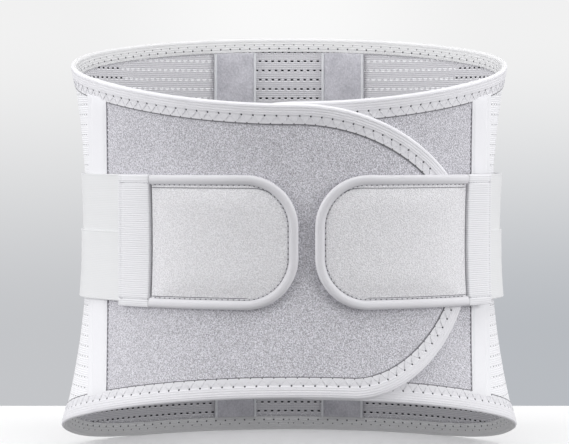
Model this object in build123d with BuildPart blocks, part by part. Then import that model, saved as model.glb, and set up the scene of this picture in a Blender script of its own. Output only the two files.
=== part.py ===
from build123d import *
import math
import os

os.makedirs("parts", exist_ok=True)

# Wrap-around back brace standing on its lower back edge. Millimetres.
# Origin on the wearer's axis at the waist, +X to the right pad, -Y the front, +Z up.

# ---- the waist oval, measured to the middle of the side mesh ----
half_width = 130.0
half_depth = 95.0
side_radius = 62.0
top_flare = 672.0
bottom_flare = 465.0

# ---- upper and lower edges seen from the side ----
front_top = 86.5
side_top = 112.0
back_top = 130.8
foot_level = -139.8
front_bottom = -97.0
foot_turn = 58.6
foot_bend = 200.0

# ---- the two front panels ----
seam_x = 113.0
tip_level = -4.0
tip_reach = {"left": 113.0, "right": 95.0}
tip_top_start = {"left": 4.0, "right": -5.0}
tip_bottom_start = {"left": 40.0, "right": -25.0}
patch_width = 40.0
patch_height = 76.0

# ---- thicknesses of cloth, tape and stays ----
mesh_thick = 1.6
panel_thick = 2.4
skin_thick = 0.55
binding_thick = 0.8
band_thick = 0.8
tape_thick = 1.2
stay_thick = 1.0
sleeve_thick = 0.7
channel_thick = 4.2
hook_thick = 0.8

# ---- gaps ----
ply_gap = 0.1
sewn_gap = 0.15
free_gap = 0.35
split_gap = 0.3

# ---- edge binding ----
binding_outside = 13.0
binding_inside = 9.5

# ---- pads, root tapes and bands ----
pad_half_height = 41.0
pad_corner = 32.0
pad_binding_width = 6.0
pad_root = {"left": 86.0, "right": 111.0}
pad_end = {"left": -5.5, "right": 15.3}
root_width = {"left": 18.5, "right": 14.0}
root_web = 1.5
upper_band = (0.0, 41.0)
lower_band = (-38.0, 5.5)
band_fan = 0.2
fan_start = 5.0

# ---- side and back channels ----
side_channel_width = 13.0
side_stay_width = 7.0
back_sleeve = (23.0, 52.0)
back_channel = (26.0, 50.0)
back_stay_width = 12.0
channel_stop = 3.0

# ---- sizes that follow from those above ----
side_centre = half_width - side_radius
front_radius = (side_centre**2 + half_depth**2 - side_radius**2) / (2 * (half_depth - side_radius))
front_centre = front_radius - half_depth
seam_angle = math.degrees(math.atan2(side_centre, front_centre))
side_angle = 90 - seam_angle
mesh_half = mesh_thick / 2
panel_half = panel_thick / 2
mesh_slot = mesh_half + ply_gap
panel_slot = panel_half + ply_gap
mesh_rim = mesh_slot + binding_thick
panel_rim = panel_slot + binding_thick
ply_step = 2 * panel_rim + free_gap
ply_lift = ply_step / 2
ply_shift = ply_lift / math.sin(math.radians(seam_angle))
lift = {"left": ply_lift, "right": -ply_lift}
side_sign = {"left": -1, "right": 1}
edge_inset = binding_thick + sewn_gap
reach = 1.45 * half_depth
far = 2 * half_width
low = foot_level - 8
high = back_top + 12
pad_thick = 2 * binding_thick + 2 * band_thick + 4 * ply_gap
pad_base = {"left": panel_half + free_gap, "right": panel_rim + free_gap}
band_base = mesh_half + ply_gap + tape_thick + free_gap
band_levels = {
    "upper": (0.0, band_thick),
    "lower": (band_thick + 2 * ply_gap, 2 * band_thick + 2 * ply_gap),
}
rear = math.radians(side_angle)
pad_to_band = binding_thick + ply_gap
fan_side = band_fan * math.tan(rear)
bottom_slope = (front_bottom - foot_level) / (half_depth + foot_turn)
split_angle = math.degrees(split_gap / 2 / side_radius)
back_split = math.degrees(split_gap / 2 / front_radius)


def flare(z):
    """Outward lean of every wall at one height."""
    bend = top_flare if z > 0 else bottom_flare
    return bend - math.sqrt(bend * bend - z * z)


def top_edge(y):
    """Height of the upper edge at one depth."""
    slope = (back_top - front_top) / (2 * half_depth)
    bow = ((back_top + front_top) / 2 - side_top) / half_depth**2
    return side_top + slope * y + bow * y * y


def bottom_edge(y):
    """Height of the sloping part of the lower edge at one depth."""
    return foot_level + bottom_slope * (foot_turn - y)


def front_y(side, x, z):
    """Depth of the middle of a front panel."""
    radius = front_radius + lift[side] + flare(z)
    return front_centre - math.sqrt(radius**2 - (x - ply_shift) ** 2)


def wall(centre, radius, inner, outer, start, sweep, mode=Mode.ADD):
    """A leaning curved wall between two offsets, turned about one upright axis."""
    x_way = (math.cos(math.radians(start)), math.sin(math.radians(start)), 0)
    z_way = (math.sin(math.radians(start)), -math.cos(math.radians(start)), 0)
    middle = (centre[0], centre[1], 0)
    with BuildSketch(Plane(origin=middle, x_dir=x_way, z_dir=z_way)) as section:
        with BuildLine():
            for offset in (inner, outer):
                foot = radius + offset
                ThreePointArc(
                    (foot + flare(low), low), (foot + flare(low / 2), low / 2), (foot, 0)
                )
                ThreePointArc(
                    (foot, 0), (foot + flare(high / 2), high / 2), (foot + flare(high), high)
                )
            Line((radius + inner + flare(low), low), (radius + outer + flare(low), low))
            Line((radius + inner + flare(high), high), (radius + outer + flare(high), high))
        make_face()
    revolve(section.sketch, axis=Axis(middle, (0, 0, 1)), revolution_arc=sweep, mode=mode)


def side_wall(side, inner, outer, mode=Mode.ADD):
    """The wall round one side, from the hinge at the rear to the front seam and a little past it."""
    sweep = 2 * side_angle - split_angle
    corner = seam_angle / 4
    if side == "right":
        wall((side_centre, 0), side_radius, inner, outer, -side_angle, sweep, mode)
        wall((0, front_centre), front_radius, inner, outer, -side_angle - corner, corner, mode)
    else:
        start = 180 - side_angle + split_angle
        wall((-side_centre, 0), side_radius, inner, outer, start, sweep, mode)
        wall((0, front_centre), front_radius, inner, outer, 180 + side_angle, corner, mode)


def panel_wall(side, inner, outer, mode=Mode.ADD):
    """The wall across the front at the level of one panel."""
    start = -90 - seam_angle - 4
    sweep = 2 * (seam_angle + 4)
    centre = (ply_shift, front_centre)
    wall(centre, front_radius + lift[side], inner, outer, start, sweep, mode)


def back_wall(inner, outer, mode=Mode.ADD):
    """The wall across the back, from one hinge to the other."""
    start = side_angle + back_split
    end = 180 - side_angle - back_split
    wall((0, -front_centre), front_radius, inner, outer, start, end - start, mode)


def strap_bend(side):
    """Axis, radius and end angles of the bend that joins a pad's level to the band's level at the rear."""
    sine = math.sin(rear)
    across = side_sign[side] * side_centre - ply_shift
    front = front_radius + lift["left"] + pad_base[side]
    span = front - side_radius - (band_base - pad_to_band)
    qa = 1 - sine**2
    qb = 2 * (front_centre + span * sine)
    qc = across**2 + front_centre**2 - span**2
    pull = (-qb + math.sqrt(qb * qb - 4 * qa * qc)) / (2 * qa)
    bend = front - math.hypot(across, front_centre + pull)
    meet = math.degrees(math.atan2(-pull - front_centre, across))
    rear_reach = side_radius + band_base + band_thick
    rear_x = side_sign[side] * rear_reach * math.cos(rear)
    end = math.degrees(math.atan2(rear_reach * sine + pull, rear_x))
    return (side_sign[side] * side_centre, -pull), bend, front, meet, end


def root_turn(side):
    """Angle about the front axis where a pad meets its root tape."""
    front = strap_bend(side)[2]
    across = side_sign[side] * pad_root[side] - ply_shift
    return -math.degrees(math.acos(across / (front + pad_thick)))


def strap_wall(side, inner, outer, mode=Mode.ADD):
    """The wall a strap follows, from the pad's root to the hinge, offset from the pad's back."""
    middle, bend, front, meet, end = strap_bend(side)
    root = root_turn(side)
    clear = 2 * split_angle
    centre = (ply_shift, front_centre)
    if side == "right":
        wall(centre, front, inner, outer, root, meet - root, mode)
        wall(middle, bend, inner, outer, meet, end - clear - meet, mode)
    else:
        wall(centre, front, inner, outer, meet, root - meet, mode)
        wall(middle, bend, inner, outer, end + clear, meet + 360 - end - clear, mode)


def pad_wall(side, inner, outer, inset, mode=Mode.ADD):
    """The wall a pad follows, from its root, less an inset, to past the middle of the front."""
    front = strap_bend(side)[2]
    root = root_turn(side)
    clear = math.degrees((split_gap / 2 + inset) / front)
    centre = (ply_shift, front_centre)
    if side == "right":
        wall(centre, front, inner, outer, -110, root - clear + 110, mode)
    else:
        wall(centre, front, inner, outer, root + clear, -70 - root - clear, mode)


def height_cut(inset, mode=Mode.INTERSECT):
    """Keep what lies between the lower and upper edges, less an inset."""
    with BuildSketch(Plane.YZ) as outline:
        with BuildLine():
            ThreePointArc(
                (-reach, top_edge(-reach) - inset),
                (0, side_top - inset),
                (reach, top_edge(reach) - inset),
            )
            FilletPolyline(
                (-reach, bottom_edge(-reach) + inset),
                (foot_turn, foot_level + inset),
                (reach, foot_level + inset),
                radius=foot_bend,
            )
            Line((-reach, bottom_edge(-reach) + inset), (-reach, top_edge(-reach) - inset))
            Line((reach, foot_level + inset), (reach, top_edge(reach) - inset))
        make_face()
    extrude(outline.sketch, amount=far, both=True, mode=mode)


def front_cut(side, inset, seam, mode=Mode.INTERSECT):
    """Keep what lies inside the rounded tip of one panel and ahead of its seam."""
    sign = side_sign[side]
    top_start = tip_top_start[side]
    bottom_start = tip_bottom_start[side]
    crest = top_edge(front_y(side, -sign * top_start, front_top))
    trough = bottom_edge(front_y(side, -sign * bottom_start, front_bottom))
    view = Plane(origin=(0, 0, 0), x_dir=(-sign, 0, 0), z_dir=(0, sign, 0))
    with BuildSketch(view) as outline:
        with BuildLine():
            EllipticalCenterArc(
                (bottom_start, tip_level),
                tip_reach[side] - bottom_start - inset,
                tip_level - trough - inset,
                start_angle=270,
                arc_size=90,
            )
            EllipticalCenterArc(
                (top_start, tip_level),
                tip_reach[side] - top_start - inset,
                crest - tip_level - inset,
                start_angle=0,
                arc_size=90,
            )
            Line((top_start, crest - inset), (top_start, high))
            Line((top_start, high), (-seam, high))
            Line((-seam, high), (-seam, low))
            Line((-seam, low), (bottom_start, low))
            Line((bottom_start, low), (bottom_start, trough + inset))
        make_face()
    extrude(outline.sketch, amount=far, both=True, mode=mode)


def front_box(side, x_from, x_to, z_from, z_to, mode=Mode.INTERSECT):
    """Keep what lies in front of the wearer between two widths and two heights."""
    with BuildSketch(Plane.XZ) as outline:
        with Locations((side_sign[side] * (x_from + x_to) / 2, (z_from + z_to) / 2)):
            Rectangle(abs(x_to - x_from), z_to - z_from)
    extrude(outline.sketch, amount=far, mode=mode)


def back_box(side, x_from, x_to, z_from, z_to, mode=Mode.INTERSECT):
    """Keep what lies behind the wearer between two widths and two heights."""
    with BuildSketch(Plane.XZ) as outline:
        with Locations((side_sign[side] * (x_from + x_to) / 2, (z_from + z_to) / 2)):
            Rectangle(abs(x_to - x_from), z_to - z_from)
    extrude(outline.sketch, amount=-far, mode=mode)


def save(piece, name):
    """Name one piece and write it out."""
    piece.part.label = name
    export_step(piece.part, "parts/" + name + ".step")


# ---- shapes taken away when the bindings are cut ----
def side_slot(side):
    with BuildPart() as tool:
        side_wall(side, -mesh_slot, mesh_slot)
        height_cut(binding_thick)
    return tool.part


def side_window(side):
    with BuildPart() as tool:
        side_wall(side, mesh_half, 2 * mesh_rim)
        height_cut(binding_outside)
    with BuildPart() as inner:
        side_wall(side, -2 * mesh_rim, -mesh_half)
        height_cut(binding_inside)
    return [tool.part, inner.part]


def panel_slot_tool(side):
    with BuildPart() as tool:
        panel_wall(side, -panel_slot, panel_slot)
        height_cut(binding_thick)
        front_cut(side, binding_thick, seam_x)
    return tool.part


def panel_window(side):
    with BuildPart() as tool:
        panel_wall(side, panel_half, 2 * panel_rim)
        height_cut(binding_outside)
        front_cut(side, binding_outside, seam_x)
    with BuildPart() as inner:
        panel_wall(side, -2 * panel_rim, -panel_half)
        height_cut(binding_inside)
        front_cut(side, binding_inside, seam_x)
    return [tool.part, inner.part]


# ---- the back ----
with BuildPart() as back_mesh:
    back_wall(-mesh_half, mesh_half)
    height_cut(edge_inset)
save(back_mesh, "back_mesh")

with BuildPart() as back_slot:
    back_wall(-mesh_slot, mesh_slot)
    height_cut(binding_thick)

with BuildPart() as back_window_outside:
    back_wall(mesh_half, 2 * mesh_rim)
    height_cut(binding_outside)

with BuildPart() as back_window_inside:
    back_wall(-2 * mesh_rim, -mesh_half)
    height_cut(binding_inside)

for name, middle in (("back_top_binding", high / 2), ("back_bottom_binding", low / 2)):
    with BuildPart() as back_binding:
        back_wall(-mesh_rim, mesh_rim)
        height_cut(0)
        with BuildSketch(Plane.XY) as half:
            Rectangle(2 * far, 2 * far)
        extrude(half.sketch, amount=2 * middle, mode=Mode.INTERSECT)
        add(back_slot.part, mode=Mode.SUBTRACT)
        add(back_window_outside.part, mode=Mode.SUBTRACT)
        add(back_window_inside.part, mode=Mode.SUBTRACT)
    save(back_binding, name)

sleeve_in = mesh_half + sewn_gap
sleeve_out = sleeve_in + stay_thick + 2 * sewn_gap + sleeve_thick
stay_in = sleeve_in + sewn_gap
for side in ("left", "right"):
    seam_in, seam_out = back_sleeve
    middle = (seam_in + seam_out) / 2
    with BuildPart() as pocket:
        back_wall(-sleeve_out + sleeve_thick, -sleeve_in + 1)
        height_cut(binding_inside + channel_stop)
        back_box(side, seam_in + channel_stop, seam_out - channel_stop, low, high)
    with BuildPart() as back_sleeve_piece:
        back_wall(-sleeve_out, -sleeve_in)
        height_cut(binding_inside + sewn_gap)
        back_box(side, seam_in, seam_out, low, high)
        add(pocket.part, mode=Mode.SUBTRACT)
    save(back_sleeve_piece, side + "_back_sleeve")

    with BuildPart() as back_stay:
        back_wall(-stay_in - stay_thick, -stay_in)
        height_cut(binding_inside + channel_stop + 2)
        back_box(side, middle - back_stay_width / 2, middle + back_stay_width / 2, low, high)
    save(back_stay, side + "_back_stay")

    fan_rise = band_fan * (front_radius * math.sin(math.radians(seam_angle)) - back_channel[0])
    pocket_top = upper_band[1] + fan_rise + 6
    with BuildPart() as band_pocket:
        back_wall(band_base - 2 * ply_gap, band_base + 2 * band_thick + 4 * ply_gap)
        back_box(side, back_channel[0] + 2, back_channel[1] + 9, -pocket_top, pocket_top)
    with BuildPart() as back_channel_piece:
        back_wall(sleeve_in, sleeve_in + channel_thick)
        height_cut(binding_outside + sewn_gap)
        back_box(side, back_channel[0], back_channel[1], low, high)
        add(band_pocket.part, mode=Mode.SUBTRACT)
    save(back_channel_piece, side + "_back_channel")

    seam_far = front_radius * math.sin(math.radians(seam_angle))
    fan_step = fan_side * (side_radius * math.sin(rear) - fan_start) / 2
    anchor_x = back_channel[0] + 3
    for level, span, turn in (("upper", upper_band, 1), ("lower", lower_band, -1)):
        inner, outer = band_levels[level]
        with BuildPart() as rear_band:
            back_wall(band_base + inner, band_base + outer)
            view = Plane(origin=(0, 0, 0), x_dir=(side_sign[side], 0, 0), z_dir=(0, -side_sign[side], 0))
            with BuildSketch(view) as outline:
                near = turn * (fan_step + band_fan * (seam_far - anchor_x))
                away = turn * (fan_step - band_fan * (far / 2 - seam_far))
                with BuildLine():
                    Polyline(
                        (anchor_x, span[0] + near),
                        (anchor_x, span[1] + near),
                        (far / 2 + 10, span[1] + away - turn * 10 * band_fan),
                        (far / 2 + 10, span[0] + away - turn * 10 * band_fan),
                        close=True,
                    )
                make_face()
            extrude(outline.sketch, amount=far, both=True, mode=Mode.INTERSECT)
        save(rear_band, side + "_" + level + "_band_rear")

# ---- the sides and the front panels ----
for side in ("left", "right"):
    sign = side_sign[side]
    outer_end = seam_x + side_channel_width

    with BuildPart() as side_mesh:
        side_wall(side, -mesh_half, mesh_half)
        height_cut(edge_inset)
        with BuildSketch(Plane.XY) as ahead:
            with Locations((sign * (seam_x + sewn_gap + far / 2), 0)):
                Rectangle(far, 2 * far)
        extrude(ahead.sketch, amount=far, both=True, mode=Mode.INTERSECT)
    save(side_mesh, side + "_side_mesh")

    slot = side_slot(side)
    windows = side_window(side)
    with BuildPart() as side_binding:
        side_wall(side, -mesh_rim, mesh_rim)
        height_cut(0)
        with BuildSketch(Plane.XY) as ahead:
            with Locations((sign * (seam_x + far / 2), 0)):
                Rectangle(far, 2 * far)
        extrude(ahead.sketch, amount=far, both=True, mode=Mode.INTERSECT)
        add(slot, mode=Mode.SUBTRACT)
        for window in windows:
            add(window, mode=Mode.SUBTRACT)

    slot = panel_slot_tool(side)
    windows = panel_window(side)
    with BuildPart() as front_binding:
        panel_wall(side, -panel_rim, panel_rim)
        height_cut(0)
        front_cut(side, 0, seam_x)
        add(slot, mode=Mode.SUBTRACT)
        for window in windows:
            add(window, mode=Mode.SUBTRACT)
        add(side_binding.part)
    save(front_binding, side + "_front_binding")

    plies = {
        "panel_lining": (-panel_half, -panel_half + skin_thick),
        "panel_core": (-panel_half + skin_thick + ply_gap, panel_half - skin_thick - ply_gap),
        "panel_face": (panel_half - skin_thick, panel_half),
    }
    for name, (inner, outer) in plies.items():
        with BuildPart() as ply:
            panel_wall(side, inner, outer)
            height_cut(edge_inset)
            front_cut(side, edge_inset, seam_x)
        save(ply, side + "_" + name)

    with BuildPart() as side_tape:
        side_wall(side, mesh_half + ply_gap, mesh_half + ply_gap + tape_thick)
        height_cut(binding_outside + sewn_gap)
        front_box(side, seam_x + sewn_gap, outer_end, low, high)
    save(side_tape, side + "_side_tape")

    middle = (seam_x + outer_end) / 2
    with BuildPart() as pocket:
        side_wall(side, -sleeve_out + sleeve_thick, -sleeve_in + 1)
        height_cut(binding_inside + channel_stop)
        front_box(side, middle - side_stay_width / 2 - 0.5, middle + side_stay_width / 2 + 0.5, low, high)
    with BuildPart() as side_sleeve:
        side_wall(side, -sleeve_out, -sleeve_in)
        height_cut(binding_inside + sewn_gap)
        front_box(side, seam_x + 1, outer_end, low, high)
        add(pocket.part, mode=Mode.SUBTRACT)
    save(side_sleeve, side + "_side_sleeve")

    with BuildPart() as side_stay:
        side_wall(side, -stay_in - stay_thick, -stay_in)
        height_cut(binding_inside + channel_stop + 2)
        front_box(side, middle - side_stay_width / 2, middle + side_stay_width / 2, low, high)
    save(side_stay, side + "_side_stay")

patch_thick = ply_step - 2 * panel_half - ply_gap - free_gap
patch_middle = tip_reach["left"] - binding_outside - patch_width / 2 - 8
with BuildPart() as hook_patch:
    panel_wall("left", -panel_half - ply_gap - patch_thick, -panel_half - ply_gap)
    with BuildSketch(Plane.XZ) as outline:
        with Locations((patch_middle, tip_level)):
            RectangleRounded(patch_width, patch_height, 10)
    extrude(outline.sketch, amount=far, mode=Mode.INTERSECT)
save(hook_patch, "left_hook_patch")

# ---- the straps and the pads ----
for side in ("left", "right"):
    sign = side_sign[side]
    root = pad_root[side]
    root_far = root + root_width[side]

    for level, heights, turn in (("upper", upper_band, 1), ("lower", lower_band, -1)):
        inner, outer = band_levels[level]
        with BuildPart() as front_band:
            strap_wall(side, pad_to_band + inner, pad_to_band + outer)
            with BuildSketch(Plane.YZ) as outline:
                bow = fan_side / (2 * (side_radius * math.sin(rear) - fan_start))
                end_y = half_depth / 1.6
                rise = turn * bow * (end_y - fan_start) ** 2
                with BuildLine():
                    Line((-reach, heights[0]), (fan_start, heights[0]))
                    TangentArc((fan_start, heights[0]), (end_y, heights[0] + rise), tangent=(1, 0))
                    Line((end_y, heights[0] + rise), (end_y, heights[1] + rise))
                    TangentArc((fan_start, heights[1]), (end_y, heights[1] + rise), tangent=(1, 0))
                    Line((fan_start, heights[1]), (-reach, heights[1]))
                    Line((-reach, heights[1]), (-reach, heights[0]))
                make_face()
            extrude(outline.sketch, amount=far, both=True, mode=Mode.INTERSECT)
            with BuildSketch(Plane.XY) as beyond:
                with Locations((sign * (root + root_web + sewn_gap + far / 2), 0)):
                    Rectangle(far, 2 * far)
            extrude(beyond.sketch, amount=far, both=True, mode=Mode.INTERSECT)
        save(front_band, side + "_" + level + "_band")

    with BuildPart() as root_slot:
        strap_wall(side, binding_thick, pad_thick - binding_thick)
        front_box(side, root + root_web, root_far + 20, low, high)
    with BuildPart() as root_tape:
        strap_wall(side, 0, pad_thick)
        front_box(side, root - 2 * pad_thick, root_far, -pad_half_height, pad_half_height)
        add(root_slot.part, mode=Mode.SUBTRACT)
    save(root_tape, side + "_root_tape")

    def pad_cut(inset, mode=Mode.INTERSECT):
        """Keep what lies inside the rounded outline of this pad."""
        tip = pad_end[side] + inset
        half = pad_half_height - inset
        corner = pad_corner - inset
        begin = root + 2 * pad_thick
        view = Plane(origin=(0, 0, 0), x_dir=(sign, 0, 0), z_dir=(0, -sign, 0))
        with BuildSketch(view) as outline:
            with BuildLine():
                FilletPolyline(
                    (begin, -half),
                    (tip, -half),
                    (tip, half),
                    (begin, half),
                    radius=corner,
                )
                Line((begin, half), (begin, -half))
            make_face()
        extrude(outline.sketch, amount=far, both=True, mode=mode)

    with BuildPart() as pad_slot:
        pad_wall(side, binding_thick, pad_thick - binding_thick, binding_thick)
        pad_cut(binding_thick)
    with BuildPart() as pad_window:
        pad_wall(side, -1, pad_thick + 1, pad_binding_width)
        pad_cut(pad_binding_width)
    with BuildPart() as pad_binding:
        pad_wall(side, 0, pad_thick, 0)
        pad_cut(0)
        add(pad_slot.part, mode=Mode.SUBTRACT)
        add(pad_window.part, mode=Mode.SUBTRACT)
    save(pad_binding, side + "_pad_binding")

    fill_in = binding_thick + ply_gap
    with BuildPart() as pad_body:
        pad_wall(side, fill_in, pad_thick - fill_in, edge_inset)
        pad_cut(edge_inset)
    save(pad_body, side + "_pad_body")

    with BuildPart() as pad_hook:
        pad_wall(side, binding_thick - hook_thick, binding_thick, pad_binding_width + sewn_gap)
        pad_cut(pad_binding_width + sewn_gap)
    save(pad_hook, side + "_pad_hook")
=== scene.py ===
import logging
import math
from dataclasses import dataclass, field
from enum import Enum
from typing import Any, Callable, Sequence

import bpy
import numpy as np
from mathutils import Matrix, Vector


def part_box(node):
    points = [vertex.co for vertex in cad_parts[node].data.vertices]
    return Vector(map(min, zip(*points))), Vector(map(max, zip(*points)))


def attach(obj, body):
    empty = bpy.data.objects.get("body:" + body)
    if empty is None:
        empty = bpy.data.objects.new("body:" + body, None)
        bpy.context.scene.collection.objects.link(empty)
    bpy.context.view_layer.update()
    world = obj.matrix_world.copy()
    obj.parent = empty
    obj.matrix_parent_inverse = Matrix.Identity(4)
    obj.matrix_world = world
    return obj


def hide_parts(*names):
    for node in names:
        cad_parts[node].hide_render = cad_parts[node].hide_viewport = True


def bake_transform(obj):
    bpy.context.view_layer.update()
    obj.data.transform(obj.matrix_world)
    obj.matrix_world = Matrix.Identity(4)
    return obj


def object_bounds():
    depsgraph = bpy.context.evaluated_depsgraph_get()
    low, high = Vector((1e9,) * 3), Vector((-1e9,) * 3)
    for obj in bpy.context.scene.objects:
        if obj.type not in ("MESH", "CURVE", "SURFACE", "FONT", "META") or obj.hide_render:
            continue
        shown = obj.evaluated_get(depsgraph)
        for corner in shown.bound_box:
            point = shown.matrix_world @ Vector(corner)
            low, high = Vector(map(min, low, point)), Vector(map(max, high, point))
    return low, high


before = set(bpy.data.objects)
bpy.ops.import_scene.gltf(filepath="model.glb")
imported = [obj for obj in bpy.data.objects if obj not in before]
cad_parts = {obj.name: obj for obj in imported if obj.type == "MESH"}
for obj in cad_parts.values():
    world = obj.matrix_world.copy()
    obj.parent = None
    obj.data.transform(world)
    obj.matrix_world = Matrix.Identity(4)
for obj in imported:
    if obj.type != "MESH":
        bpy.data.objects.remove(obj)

CAD_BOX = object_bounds()
log = logging.getLogger("brace")

Array = np.ndarray
Colour = tuple[float, float, float]
Point = tuple[float, float, float]


# ---------------------------------------------------------------- sizes


class Side(Enum):
    """The wearer's two sides as they stand in the frame."""

    LEFT = -1
    RIGHT = 1

    @property
    def word(self) -> str:
        """The side's name as the CAD nodes use it."""
        return self.name.lower()

    @property
    def sign(self) -> int:
        """Minus one to the left, plus one to the right."""
        return int(self.value)


class Rim(Enum):
    """The upper and the lower edge of the brace."""

    TOP = 1
    BOTTOM = -1


@dataclass(frozen=True)
class Waist:
    """The oval that the cloth follows, and how its walls lean and where they end. Metres."""

    half_width: float = 0.130
    half_depth: float = 0.095
    side_radius: float = 0.062
    top_flare: float = 0.672
    bottom_flare: float = 0.465
    front_top: float = 0.0865
    side_top: float = 0.112
    back_top: float = 0.1308
    foot_level: float = -0.1398
    front_bottom: float = -0.097
    foot_turn: float = 0.0586
    foot_bend: float = 0.200

    @property
    def side_centre(self) -> float:
        """Half the distance between the two side arcs' centres."""
        return self.half_width - self.side_radius

    @property
    def long_radius(self) -> float:
        """Radius of the wide arcs at the front and the back."""
        gap = self.half_depth - self.side_radius
        return (self.side_centre**2 + self.half_depth**2 - self.side_radius**2) / (2 * gap)

    @property
    def long_centre(self) -> float:
        """How far the wide arcs' centres lie from the middle."""
        return self.long_radius - self.half_depth

    @property
    def join_angle(self) -> float:
        """Angle above the side's own direction where a wide arc meets a side arc."""
        return math.atan2(self.long_centre, self.side_centre)

    def flare(self, z: Array) -> Array:
        """Outward lean of every wall.

        Args:
            z: Heights.

        Returns:
            How far the wall stands outside its narrowest level at each height.
        """
        bend = np.where(z > 0, self.top_flare, self.bottom_flare)
        return bend - np.sqrt(bend**2 - z**2)

    def edge(self, rim: Rim, y: Array) -> Array:
        """Height of an edge seen from the side.

        Args:
            rim: Which edge.
            y: Depths.

        Returns:
            The edge's height at each depth.
        """
        if rim is Rim.TOP:
            slope = (self.back_top - self.front_top) / (2 * self.half_depth)
            bow = ((self.back_top + self.front_top) / 2 - self.side_top) / self.half_depth**2
            return self.side_top + slope * y + bow * y * y
        slope = (self.front_bottom - self.foot_level) / (self.half_depth + self.foot_turn)
        run = self.foot_bend * math.tan(math.atan(slope) / 2)
        flat_from = self.foot_turn + run
        slope_to = self.foot_turn - run * math.cos(math.atan(slope))
        drop = np.clip(flat_from - y, 0, self.foot_bend)
        bend = self.foot_level + self.foot_bend - np.sqrt(self.foot_bend**2 - drop**2)
        return np.where(y < slope_to, self.foot_level + slope * (self.foot_turn - y), bend)


@dataclass(frozen=True)
class Plies:
    """Thicknesses of the cloth layers and the gaps between them. Metres."""

    mesh: float = 0.0016
    panel: float = 0.0024
    binding: float = 0.0008
    band: float = 0.0008
    tape: float = 0.0012
    gap: float = 0.0001
    free: float = 0.00035

    @property
    def mesh_rim(self) -> float:
        """Outer face of a binding folded over the mesh."""
        return self.mesh / 2 + self.gap + self.binding

    @property
    def panel_rim(self) -> float:
        """Outer face of a binding folded over a panel."""
        return self.panel / 2 + self.gap + self.binding

    @property
    def lift(self) -> float:
        """How far a panel stands above or below the mesh's own level at the front."""
        return self.panel_rim + self.free / 2

    @property
    def band_base(self) -> float:
        """Where a band's inner face starts above the mesh."""
        return self.mesh / 2 + self.gap + self.tape + self.free

    @property
    def pad(self) -> float:
        """Thickness of a pad with its binding."""
        return 2 * self.binding + 2 * self.band + 4 * self.gap


WAIST = Waist()
PLIES = Plies()


# ---------------------------------------------------------------- surfaces to build on


@dataclass(frozen=True)
class Arc:
    """One arc of a plan curve, in the side's own direction and depth."""

    across: float
    depth: float
    radius: float
    start: float
    end: float

    @property
    def length(self) -> float:
        """Length of the arc."""
        return self.radius * (self.start - self.end)


class Track:
    """A leaning wall that starts at the middle of the back and runs round one side to the front."""

    def __init__(self, side: Side, arcs: Sequence[Arc]) -> None:
        """Keep the arcs and their running lengths.

        Args:
            side: The side that the wall goes round.
            arcs: Its arcs from the back to the front.
        """
        self.side = side
        self.arcs = list(arcs)
        lengths = [a.length for a in self.arcs]
        self.starts = np.array([0.0, *np.cumsum(lengths)[:-1]])
        self.across = np.array([a.across for a in self.arcs])
        self.depth = np.array([a.depth for a in self.arcs])
        self.radius = np.array([a.radius for a in self.arcs])
        self.turn = np.array([a.start for a in self.arcs])

    def _locate(self, s: Array) -> tuple[Array, Array]:
        """Arc index and angle at each running length."""
        index = np.clip(np.searchsorted(self.starts, s, side="right") - 1, 0, len(self.arcs) - 1)
        return index, self.turn[index] - (s - self.starts[index]) / self.radius[index]

    def place(self, s: Array, z: Array, offset: Array | float = 0.0) -> Array:
        """Points on the wall.

        Args:
            s: Running length from the middle of the back.
            z: Height.
            offset: Distance outward from the wall's own level.

        Returns:
            The points, with x, y and z in the last axis.
        """
        s, z, offset = np.broadcast_arrays(np.asarray(s, float), np.asarray(z, float), offset)
        index, angle = self._locate(s)
        reach = self.radius[index] + offset + WAIST.flare(z)
        u = self.across[index] + reach * np.cos(angle)
        y = self.depth[index] + reach * np.sin(angle)
        return np.stack([self.side.sign * u, y, z], axis=-1)

    def stretch(self, s: Array, z: Array) -> Array:
        """How much longer the leaning wall is than its plan curve."""
        index, _ = self._locate(np.asarray(s, float))
        return (self.radius[index] + WAIST.flare(np.asarray(z, float))) / self.radius[index]

    def across_front(self, u: Array, z: Array, offset: float = 0.0) -> Array:
        """Running length where the front arc crosses an upright plane.

        Args:
            u: Distance from the middle towards the side.
            z: Heights.
            offset: Distance outward from the wall's own level.

        Returns:
            The running lengths.
        """
        u, z = np.broadcast_arrays(np.asarray(u, float), np.asarray(z, float))
        reach = self.radius[-1] + offset + WAIST.flare(z)
        angle = -np.arccos(np.clip((u - self.across[-1]) / reach, -1, 1))
        return self.starts[-1] + (self.turn[-1] - angle) * self.radius[-1]

    def across_back(self, u: Array, z: Array, offset: float = 0.0) -> Array:
        """Running length where the back arc crosses an upright plane."""
        u, z = np.broadcast_arrays(np.asarray(u, float), np.asarray(z, float))
        reach = self.radius[0] + offset + WAIST.flare(z)
        return (self.turn[0] - np.arccos(np.clip(u / reach, -1, 1))) * self.radius[0]

    def across_side(self, u: Array, z: Array, offset: float = 0.0) -> Array:
        """Running length where the front half of the side arc crosses an upright plane."""
        u, z = np.broadcast_arrays(np.asarray(u, float), np.asarray(z, float))
        reach = self.radius[1] + offset + WAIST.flare(z)
        angle = -np.arccos(np.clip((u - self.across[1]) / reach, -1, 1))
        return self.starts[1] + (self.turn[1] - angle) * self.radius[1]

    def level(self, rim: Rim, s: Array, inset: float = 0.0, offset: float = 0.0) -> Array:
        """Height of an edge along the wall, less an inset.

        Args:
            rim: Which edge.
            s: Running lengths.
            inset: Distance kept inside the edge.
            offset: Distance outward from the wall's own level.

        Returns:
            The heights.
        """
        s = np.asarray(s, float)
        z = np.full(s.shape, 0.1 * rim.value)
        for _ in range(12):
            z = WAIST.edge(rim, self.place(s, z, offset)[..., 1]) - rim.value * inset
        return z


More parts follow.
